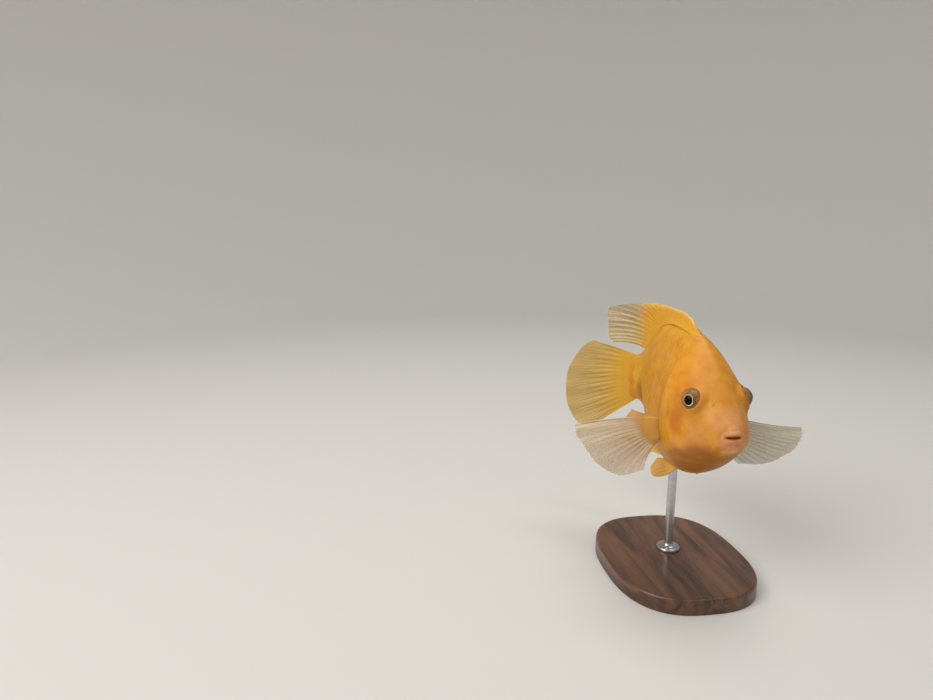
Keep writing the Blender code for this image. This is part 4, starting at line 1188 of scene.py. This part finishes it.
class Graph:
    """Lays a material's nodes and joins them."""

    def __init__(self, name):
        self.material = bpy.data.materials.new(name)
        self.material.use_nodes = True
        self.tree = self.material.node_tree
        self.tree.nodes.clear()

    def node(self, kind, settings=(), **inputs):
        made = self.tree.nodes.new(kind)
        for key, value in dict(settings).items():
            setattr(made, key, value)
        for key, value in inputs.items():
            self.put(value, made.inputs[key.replace("_", " ")])
        return made

    def put(self, value, socket):
        if isinstance(value, bpy.types.NodeSocket):
            self.tree.links.new(value, socket)
        else:
            socket.default_value = value

    def math(self, operation, a, b):
        made = self.node("ShaderNodeMath", {"operation": operation})
        self.put(a, made.inputs[0])
        self.put(b, made.inputs[1])
        return made.outputs[0]

    def times(self, a, b):
        return self.math("MULTIPLY", a, b)

    def wander(self, value, noise, amount):
        """A value that a noise moves up and down."""
        return self.math("ADD", value, self.times(self.math("SUBTRACT", noise, 0.5), amount))

    def vector(self, operation, a, b=(0.0, 0.0, 0.0)):
        made = self.node("ShaderNodeVectorMath", {"operation": operation})
        self.put(a, made.inputs[0])
        self.put(b, made.inputs[1])
        return made.outputs["Value" if operation == "LENGTH" else "Vector"]

    def mapped(self, value, low, high, out_low=0.0, out_high=1.0):
        """A smooth step from out_low to out_high as a value goes from low to high."""
        made = self.node("ShaderNodeMapRange", {"interpolation_type": "SMOOTHSTEP"}, Value=value,
                         From_Min=low, From_Max=high, To_Min=out_low, To_Max=out_high)
        return made.outputs["Result"]

    def both(self, first, second):
        """Where two values, each given with the low and high of its smooth step, are both high."""
        return self.times(self.mapped(*first), self.mapped(*second))

    def mix(self, share, a, b):
        made = self.node("ShaderNodeMix", {"data_type": "RGBA"})
        self.put(share, made.inputs[0])
        self.put(a, made.inputs[6])
        self.put(b, made.inputs[7])
        return made.outputs[2]

    def tinted(self, colour, *tints):
        """A colour under tints, each given as value, low, high, strength and sRGB colour."""
        for value, low, high, strength, tint in tints:
            colour = self.mix(self.mapped(value, low, high, 0.0, strength), colour, linear(*tint))
        return colour

    def layered(self, colour, *layers):
        """A colour under layers, each given as share, strength and sRGB colour."""
        for share, strength, tint in layers:
            colour = self.mix(self.times(share, strength), colour, linear(*tint))
        return colour

    def noise(self, where, scale, detail=2.0, roughness=0.5, output="Fac"):
        made = self.node("ShaderNodeTexNoise", Vector=where, Scale=scale, Detail=detail, Roughness=roughness)
        return made.outputs[output]

    def value_of(self, name):
        return self.node("ShaderNodeAttribute", {"attribute_name": name}).outputs["Fac"]

    def vector_of(self, name):
        return self.node("ShaderNodeAttribute", {"attribute_name": name}).outputs["Vector"]

    def joined(self, x, y):
        return self.node("ShaderNodeCombineXYZ", X=x, Y=y).outputs[0]

    def parts(self, vector):
        return self.node("ShaderNodeSeparateXYZ", Vector=vector).outputs

    def blob(self, where, centre, radii, strength):
        """1 at a centre, falling softly to 0 at the radii, times a strength."""
        away = self.vector("DIVIDE", self.vector("SUBTRACT", where, centre), radii)
        return self.mapped(self.vector("LENGTH", away), 1.0, 0.25, 0.0, strength)

    def bump(self, height, distance, strength):
        return self.node("ShaderNodeBump", Height=height, Distance=distance, Strength=strength).outputs[0]

    def mix_shader(self, share, a, b):
        made = self.node("ShaderNodeMixShader", Fac=share)
        self.put(a, made.inputs[1])
        self.put(b, made.inputs[2])
        return made.outputs[0]

    def principled(self, colour, roughness, settings=(), **inputs):
        """A principled shader, with settings by the full names of its sockets."""
        made = self.node("ShaderNodeBsdfPrincipled", Base_Color=colour, Roughness=roughness, **inputs)
        for key, value in dict(settings).items():
            made.inputs[key].default_value = value
        return made.outputs[0]

    def finish(self, shader):
        self.node("ShaderNodeOutputMaterial", Surface=shader)
        return self.material


# Colours are sRGB. Soft patches on the fish: centre (back, side, up), radii, strength and colour
AMBER = (216, 144, 30)
PATCHES = (
    ((24.0, 6.0, 38.0), (18.0, 24.0, 16.0), 0.60, (202, 136, 34)),
    ((14.0, 8.0, 16.0), (24.0, 26.0, 30.0), 0.70, (196, 130, 42)),
    ((75.0, 0.0, 55.0), (46.0, 20.0, 13.0), 0.75, (228, 170, 50)),
    ((64.0, 16.0, -30.0), (44.0, 20.0, 15.0), 0.60, (216, 150, 56)),
    ((110.0, 5.0, 17.0), (22.0, 12.0, 28.0), 0.75, (228, 172, 56)),
    ((21.0, 17.0, 18.0), (13.0, 14.0, 13.0), 0.75, (198, 116, 18)),
    ((4.0, 0.0, 8.0), (11.0, 15.0, 12.0), 0.80, (214, 152, 92)),
    ((13.0, 14.0, -3.0), (13.0, 14.0, 11.0), 0.75, (202, 136, 68)),
    ((0.5, 0.0, 1.6), (7.0, 13.0, 8.0), 0.90, (222, 160, 108)),
    # This patch and the next are painted shade in the hollow behind and below the eye
    ((26.0, 19.5, 4.0), (7.0, 10.0, 11.0), 0.75, (184, 98, 12)),
    ((33.0, 20.0, 9.0), (5.0, 8.0, 7.0), 0.45, (190, 104, 14)),
    ((27.0, 19.0, -9.0), (7.0, 9.0, 6.0), 0.45, (218, 136, 84)),
    ((1.0, 0.0, -4.5), (6.0, 12.0, 4.6), 0.85, (222, 146, 112)),
    ((3.0, 0.0, -9.6), (6.0, 10.0, 4.8), 0.90, (240, 188, 140)),
    ((4.5, 6.5, -2.0), (3.0, 3.0, 4.0), 0.45, (204, 112, 44)),
)
# Darker rings round the nostril and the eye: radius, strength and colour
NOSTRIL_SHADE = (1.2, 0.5, (160, 96, 34))
EYE_SHADE = (9.0, 0.75, (180, 126, 54))
# Painted shade in the inside of the tail's bend, on the right side alone
TAIL_BEND_SHADE = ((103.0, 7.2, 5.0), (13.0, 10.0, 14.0), 0.62)
TAIL_BEND_SHADE_COLOUR = (122, 80, 20)
# Colour of the painted shade under the throat
THROAT_SHADE_COLOUR = (160, 96, 34)
MOUTH_RED = (156, 78, 38)
# Colour of the painted shade along the gill seam
GILL_SEAM_SHADE_COLOUR = (176, 92, 14)
TAIL_BAND = (208, 134, 28)
PALE_STREAK = (240, 200, 120)
TAIL_AMBER = (208, 152, 42)
# How far the patches' edges wander, in millimetres
DRIFT = 9.0
# The throat's painted shade: below a line that falls by this share towards the tail, from behind the chin,
# and where it has faded away again. Each pair here and below is where a smooth step starts and where it is
# full.
THROAT_SLOPE = 0.34
THROAT_UNDER = (0.6, -4.0)
THROAT_BACK = (4.0, 11.0)
THROAT_END = (52.0, 32.0)
# Pale streaks near the tail, the band over its root and the colour behind that, by the distance back
STREAK_STRETCH = (0.42, 0.05, 0.07)
STREAKS_FROM = (80.0, 92.0)
STREAKS_TO = (114.0, 108.0)
BAND_WANDER = 8.0
BAND_FROM = (113.5, 117.0)
BAND_TO = (121.5, 118.0)
TAIL_FROM = (118.0, 124.0)


def skin_material():
    """The fish's skin and scales, marked by body coordinates in millimetres."""
    g = Graph("parrot_skin")
    at = g.vector_of("fish_mm")
    drift = g.vector("SUBTRACT", g.noise(at, 0.10, 3.0, output="Color"), (0.5, 0.5, 0.5))
    warped = g.vector("ADD", at, g.vector("MULTIPLY", drift, (DRIFT, DRIFT, DRIFT)))
    colour = linear(*AMBER)
    for centre, radii, strength, tint in PATCHES:
        colour = g.mix(g.blob(warped, centre, radii, strength), colour, linear(*tint))
    cloudy = g.noise(at, 0.16, 4.0, 0.6)
    fine = g.noise(at, 1.1, 3.0, 0.6)
    colour = g.tinted(colour, (cloudy, 0.45, 0.72, 0.5, (198, 114, 18)),
                      (cloudy, 0.52, 0.25, 0.30, (230, 172, 66)),
                      (fine, 0.52, 0.80, 0.25, (192, 108, 16)))

    back = g.parts(at)[0]
    # Painted shade under the throat, below the cheek's lower edge
    below_cheek = g.math("ADD", g.parts(warped)[2], g.times(back, THROAT_SLOPE))
    throat_shade = g.times(g.both((below_cheek, *THROAT_UNDER), (back, *THROAT_BACK)),
                     g.mapped(back, *THROAT_END))
    streaks = g.noise(g.vector("MULTIPLY", at, STREAK_STRETCH), 1.0, 1.0)
    near_tail = g.both((back, *STREAKS_FROM), (back, *STREAKS_TO))
    # Painted shade in the inside of the tail's bend, on the right side alone
    tail_bend_shade = g.times(g.blob(warped, *TAIL_BEND_SHADE), g.value_of("right_side"))
    wandering_back = g.wander(back, cloudy, BAND_WANDER)
    band = g.both((wandering_back, *BAND_FROM), (wandering_back, *BAND_TO))
    # Layers: painted shade under the throat, pale streaks, painted shade in the tail's bend, and the band
    # over the tail's root
    colour = g.layered(colour, (throat_shade, 0.85, THROAT_SHADE_COLOUR),
                       (g.times(g.mapped(streaks, 0.50, 0.66), near_tail), 0.28, PALE_STREAK),
                       (tail_bend_shade, 1.0, TAIL_BEND_SHADE_COLOUR), (band, 0.5, TAIL_BAND))
    tint = g.value_of("tint")
    colour = g.tinted(colour, (back, *TAIL_FROM, 0.9, TAIL_AMBER),
                      (g.value_of("rim"), 0.2, 1.0, 0.12, (194, 112, 20)),
                      (tint, 0.0, 2.5, 0.10, (240, 190, 90)), (tint, 0.0, -2.5, 0.10, (176, 96, 16)))
    # Painted shade along the gill cover's seam, then the mouth's own red inside
    colour = g.layered(colour, (g.value_of("gill"), 0.55, GILL_SEAM_SHADE_COLOUR), (g.value_of("mouth"), 1.0, MOUTH_RED))
    for centre, (radius, strength, tint) in ((NOSTRIL, NOSTRIL_SHADE), (EYE_POINT, EYE_SHADE)):
        ring = g.blob(at, tuple(centre), (radius, radius, radius), strength)
        colour = g.mix(ring, colour, linear(*tint))
    shader = g.principled(colour, 0.48, {
        "Specular IOR Level": 0.32, "Subsurface Weight": 0.12, "Subsurface Radius": (1.0, 0.4, 0.15),
        "Subsurface Scale": 0.0015}, Normal=g.bump(g.noise(at, 2.6, 3.0, 0.6), 0.0001, 0.35))
    return g.finish(shader)


# Each fin's colours: flesh, rays and membrane. Then how far the flesh's colour reaches, the opacity of the
# rays near the root and at the margin, and that of the membrane. Last, for an opaque spiny part, how far back
# it ends and how softly.
LEAF = ((242, 186, 66), (250, 212, 126), (244, 192, 90), 0.5, (0.97, 0.9), (0.96, 0.8), None)
FIN_LOOKS = {
    "dorsal_fin": ((230, 164, 46), (252, 230, 170), (160, 130, 76), 0.16, (0.98, 0.9), (0.80, 0.42),
                   (113.0, 9.0)),
    "anal_fin": ((226, 160, 44), (240, 196, 100), (222, 166, 66), 0.60, (0.97, 0.85), (0.92, 0.62),
                 (104.0, 5.0)),
    "caudal_fin": ((228, 176, 50), (238, 200, 104), (206, 172, 76), 0.50, (0.97, 0.86), (0.94, 0.62), None),
    "pectoral_fin_left": ((206, 160, 90), (240, 232, 204), (160, 146, 112), 0.14, (0.97, 0.88), (0.56, 0.34),
                          None),
    "pectoral_fin_right": ((230, 176, 76), (255, 242, 212), (206, 168, 118), 0.26, (0.98, 0.92),
                           (0.72, 0.36), None),
    "pelvic_fin_left": LEAF,
    "pelvic_fin_right": LEAF,
}
# The fibres' fineness over the fin and along the rays, and how far a mottle and the fibres move the edge of
# the flesh's colour, as shares of the fin, and that of the spiny part, in millimetres
FIBRES = (90.0, 3.0)
FLESH_WANDER = (0.22, 0.12)
SPINY_WANDER = (8.0, 6.0)
# Where the flesh's colour ends and is full, and where the opacity starts to fall, as shares of its reach
FLESH_FADE = (1.25, 0.55)
COVER_FROM = 0.6
# Where the opacity of the membrane and of the rays is the margin's, as shares of the fin
MARGIN_FROM = (0.9, 1.0)
SHINES_THROUGH = 0.28
SPINY_AMBER = (234, 176, 42)
SPINY_MARGIN = (252, 218, 116)


def fin_material(node):
    """A fin's skin: opaque flesh at the root, then rays on a clearer membrane."""
    g = Graph(node.replace("_fin", "_skin"))
    flesh_reach, ray_cover, membrane_cover, spiny_end = FIN_LOOKS[node][3:]
    flesh, ray, membrane = (linear(*tint) for tint in FIN_LOOKS[node][:3])
    at, reach, rays = g.vector_of("fish_mm"), g.value_of("reach"), g.value_of("ray")
    lined = g.joined(g.times(g.value_of("share"), FIBRES[0]), g.times(reach, FIBRES[1]))
    fibres = g.noise(lined, 1.0, 3.0, 0.6)
    mottle = g.noise(at, 0.22, 3.0)
    wandering_reach = g.wander(g.wander(reach, mottle, FLESH_WANDER[0]), fibres, FLESH_WANDER[1])
    root = g.mapped(wandering_reach, *(flesh_reach * share for share in FLESH_FADE))
    colour = g.mix(g.mapped(fibres, 0.35, 0.7), membrane, g.mix(0.35, membrane, ray))
    colour = g.mix(rays, colour, ray)
    colour = g.mix(g.times(root, 0.95), colour, flesh)
    cover = g.node("ShaderNodeMix", Factor=rays)
    start, (membrane_end, ray_end) = flesh_reach * COVER_FROM, MARGIN_FROM
    g.put(g.mapped(reach, start, membrane_end, *membrane_cover), cover.inputs[2])
    g.put(g.mapped(reach, start, ray_end, *ray_cover), cover.inputs[3])
    cover = g.math("MAXIMUM", cover.outputs[0], root)
    if spiny_end:
        end, fade = spiny_end
        edge = g.wander(g.wander(g.parts(at)[0], mottle, SPINY_WANDER[0]), fibres, SPINY_WANDER[1])
        front = g.mapped(edge, end + fade, end - fade)
        spiny = g.tinted(linear(*SPINY_AMBER), (reach, 0.55, 1.0, 0.8, SPINY_MARGIN))
        spiny = g.layered(spiny, (rays, 0.35, SPINY_MARGIN))
        colour = g.mix(front, colour, spiny)
        cover = g.math("MAXIMUM", cover, g.times(front, 0.97))
    colour = g.mix(g.mapped(mottle, 0.5, 0.8, 0.0, 0.25), colour, g.mix(0.5, colour, flesh))
    bump = g.bump(fibres, 0.00006, 0.3)
    through = g.node("ShaderNodeBsdfTranslucent", Color=colour, Normal=bump).outputs[0]
    solid = g.mix_shader(SHINES_THROUGH, g.principled(colour, 0.38, Normal=bump), through)
    clear = g.node("ShaderNodeBsdfTransparent").outputs[0]
    return g.finish(g.mix_shader(cover, clear, solid))


# Bands of the iris: where each starts and is full, from the eye's axis, and its colour
PUPIL_BLACK = (14, 10, 8)
IRIS_BANDS = ((2.45, 2.6, 1.0, (196, 160, 108)), (2.9, 3.1, 1.0, (70, 50, 18)),
              (3.4, 4.2, 1.0, (118, 88, 38)), (4.3, 5.3, 1.0, (176, 122, 54)))


def iris_material():
    g = Graph("iris_bands")
    forward, up = g.value_of("forward"), g.value_of("up")
    at = g.joined(forward, up)
    wide = g.wander(g.value_of("from_axis"), g.noise(at, 1.6, 3.0, 0.65), 0.8)
    colour = g.tinted(linear(*PUPIL_BLACK), *((wide, *band) for band in IRIS_BANDS))
    specks = g.both((g.noise(at, 1.3, 2.0, 0.6), 0.48, 0.60), (wide, 3.0, 3.4))
    ring = g.both((wide, 2.5, 2.65), (wide, 3.1, 2.9))
    gleam = g.times(g.both((up, 0.4, -1.6), (forward, -1.4, 0.6)), ring)
    shade = g.both((up, 0.8, 3.4), (wide, 2.7, 3.3))
    rear = g.both((forward, -1.6, -2.6), (wide, 2.6, 3.0))
    colour = g.layered(colour, (specks, 0.6, (182, 152, 94)), (gleam, 1.0, (238, 216, 170)),
                       (shade, 0.75, (132, 96, 36)), (rear, 0.6, (190, 128, 62)))
    return g.finish(g.principled(colour, 0.5))


def eye_materials():
    lens, cornea = Graph("lens_black"), Graph("cornea_clear")
    black = lens.principled(linear(8, 6, 5), 0.3, {"Specular IOR Level": 0.1})
    clear = cornea.principled(linear(6, 6, 6), 0.08, {"Specular IOR Level": 0.3}, Alpha=0.08)
    return {"iris": iris_material(), "lens": lens.finish(black), "cornea": cornea.finish(clear)}


def wood_material():
    g = Graph("walnut")
    at = g.node("ShaderNodeTexCoord").outputs["Object"]
    stretched = g.vector("MULTIPLY", at, (90.0, 9.0, 90.0))
    bend = g.vector("MULTIPLY", g.noise(stretched, 0.6, output="Color"), (2.2, 2.2, 2.2))
    grain = g.noise(g.vector("ADD", stretched, bend), 1.6, 5.0, 0.62)
    pores = g.noise(g.vector("MULTIPLY", at, (900.0, 40.0, 900.0)), 1.0)
    colour = g.tinted(linear(58, 36, 24), (grain, 0.32, 0.70, 1.0, (112, 74, 48)),
                      (pores, 0.60, 0.75, 0.5, (40, 24, 16)))
    shader = g.principled(colour, 0.38, {"Coat Weight": 0.3, "Coat Roughness": 0.2},
                          Normal=g.bump(grain, 0.0001, 0.25))
    return g.finish(shader)


def metal_material():
    g = Graph("brushed_steel")
    at = g.node("ShaderNodeTexCoord").outputs["Object"]
    lines = g.noise(g.vector("MULTIPLY", at, (60.0, 60.0, 4000.0)), 1.0)
    colour = g.tinted(linear(176, 176, 180), (lines, 0.3, 0.7, 1.0, (206, 206, 208)))
    return g.finish(g.principled(colour, 0.30, Metallic=1.0, Normal=g.bump(lines, 0.00003, 0.2)))


# Stage: a pale bowl, open at the top, with the light over it
MIDDLE_RADIUS = 0.2
FLOOR_RADIUS = 0.9
WALL_RADIUS = 1.5
WALL_HEIGHT = 1.9
FLOOR_GREY = (206, 204, 200)
STAGE_SIDES = 96
BEND_RINGS = 24
# Lights: place, size, watts and colour. They face this point.
LIT_POINT = (0.0, 0.0, 0.11)
LIGHTS = {"key": ((-0.95, -0.35, 0.95), 0.8, 12.0, (1.0, 0.97, 0.93)),
          "top": ((0.15, 0.15, 1.2), 0.7, 7.0, (1.0, 0.98, 0.95))}
ROOM_COLOUR = (0.80, 0.84, 0.9, 1.0)
ROOM_STRENGTH = 0.35


def build_stage():
    g = Graph("pale_floor")
    material = g.finish(g.principled(linear(*FLOOR_GREY), 0.8))
    bend = np.linspace(0, math.pi / 2, BEND_RINGS)[1:]
    rise = WALL_RADIUS - FLOOR_RADIUS
    bent = FLOOR_RADIUS + rise * np.sin(bend)
    radii = np.concatenate(((MIDDLE_RADIUS, FLOOR_RADIUS), bent, (WALL_RADIUS,)))
    heights = np.concatenate(((0.0, 0.0), rise * (1 - np.cos(bend)), (WALL_HEIGHT,)))
    turn = np.linspace(0, 2 * math.pi, STAGE_SIDES, endpoint=False)
    c, s = np.cos(turn), np.sin(turn)
    points = np.concatenate([stack(radius * c, radius * s, height) for radius, height in zip(radii, heights)])
    a = np.arange(STAGE_SIDES)
    b = np.roll(a, -1)
    faces = [tuple(a.tolist())]
    for start in range(0, len(points) - STAGE_SIDES, STAGE_SIDES):
        end = start + STAGE_SIDES
        faces += np.stack((start + a, end + a, end + b, start + b), axis=-1).tolist()
    mesh_piece("pale_bowl", points, faces, material)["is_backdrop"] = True


def build_lights():
    for name, (at, size, watts, colour) in LIGHTS.items():
        data = bpy.data.lights.new(name, "AREA")
        data.shape = "RECTANGLE"
        data.size = data.size_y = size
        data.energy = watts
        data.color = colour
        lamp = bpy.data.objects.new(name, data)
        bpy.context.scene.collection.objects.link(lamp)
        away = Vector(at) - Vector(LIT_POINT)
        lamp.matrix_world = Matrix.Translation(at) @ away.to_track_quat("Z", "Y").to_matrix().to_4x4()
    world = bpy.data.worlds.new("room")
    world.use_nodes = True
    background = world.node_tree.nodes["Background"]
    background.inputs[0].default_value = ROOM_COLOUR
    background.inputs[1].default_value = ROOM_STRENGTH
    bpy.context.scene.world = world


# Camera, found by matching the photo: heading and pitch, the middle of the mouth, and where that is from the
# camera before the heading turns it
CAMERA_HEADING = math.radians(8.49)
CAMERA_PITCH = math.radians(12.4)
MOUTH_AT = (0.0, -0.0597, 0.104)
MOUTH_SEEN = (0.13448, 0.3328, -0.11813)
SENSOR_WIDTH = 36.0
CAMERA_LENS = SENSOR_WIDTH * 700 / 933


def build_camera():
    c, s = math.cos(CAMERA_HEADING), math.sin(CAMERA_HEADING)
    x, y, z = MOUTH_SEEN
    place_at = Vector(MOUTH_AT) - Vector((x * c + y * s, -x * s + y * c, z))
    level = math.cos(CAMERA_PITCH)
    forward = Vector((level * s, level * c, -math.sin(CAMERA_PITCH)))
    right = Vector((c, -s, 0.0))
    turned = Matrix((right, right.cross(forward), -forward)).transposed().to_4x4()
    data = bpy.data.cameras.new("camera")
    data.sensor_width = SENSOR_WIDTH
    data.sensor_fit = "HORIZONTAL"
    data.lens = CAMERA_LENS
    data.clip_start = 0.01
    camera = bpy.data.objects.new("camera", data)
    bpy.context.scene.collection.objects.link(camera)
    camera.matrix_world = Matrix.Translation(place_at) @ turned
    bpy.context.scene.camera = camera


def main():
    skin = skin_material()
    build_skin(skin)
    build_coat(1, "coat_left", skin)
    build_coat(-1, "coat_right", skin)
    build_fins({node: fin_material(node) for node in FIN_LOOKS})
    eyes = eye_materials()
    build_eye(1, "left", eyes)
    build_eye(-1, "right", eyes)
    build_base(wood_material())
    build_rod(metal_material())
    build_stage()
    build_lights()
    build_camera()
    bpy.context.scene.view_settings.view_transform = "Standard"
    [[list(corner) for corner in box] for box in (CAD_BOX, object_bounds())]


main()
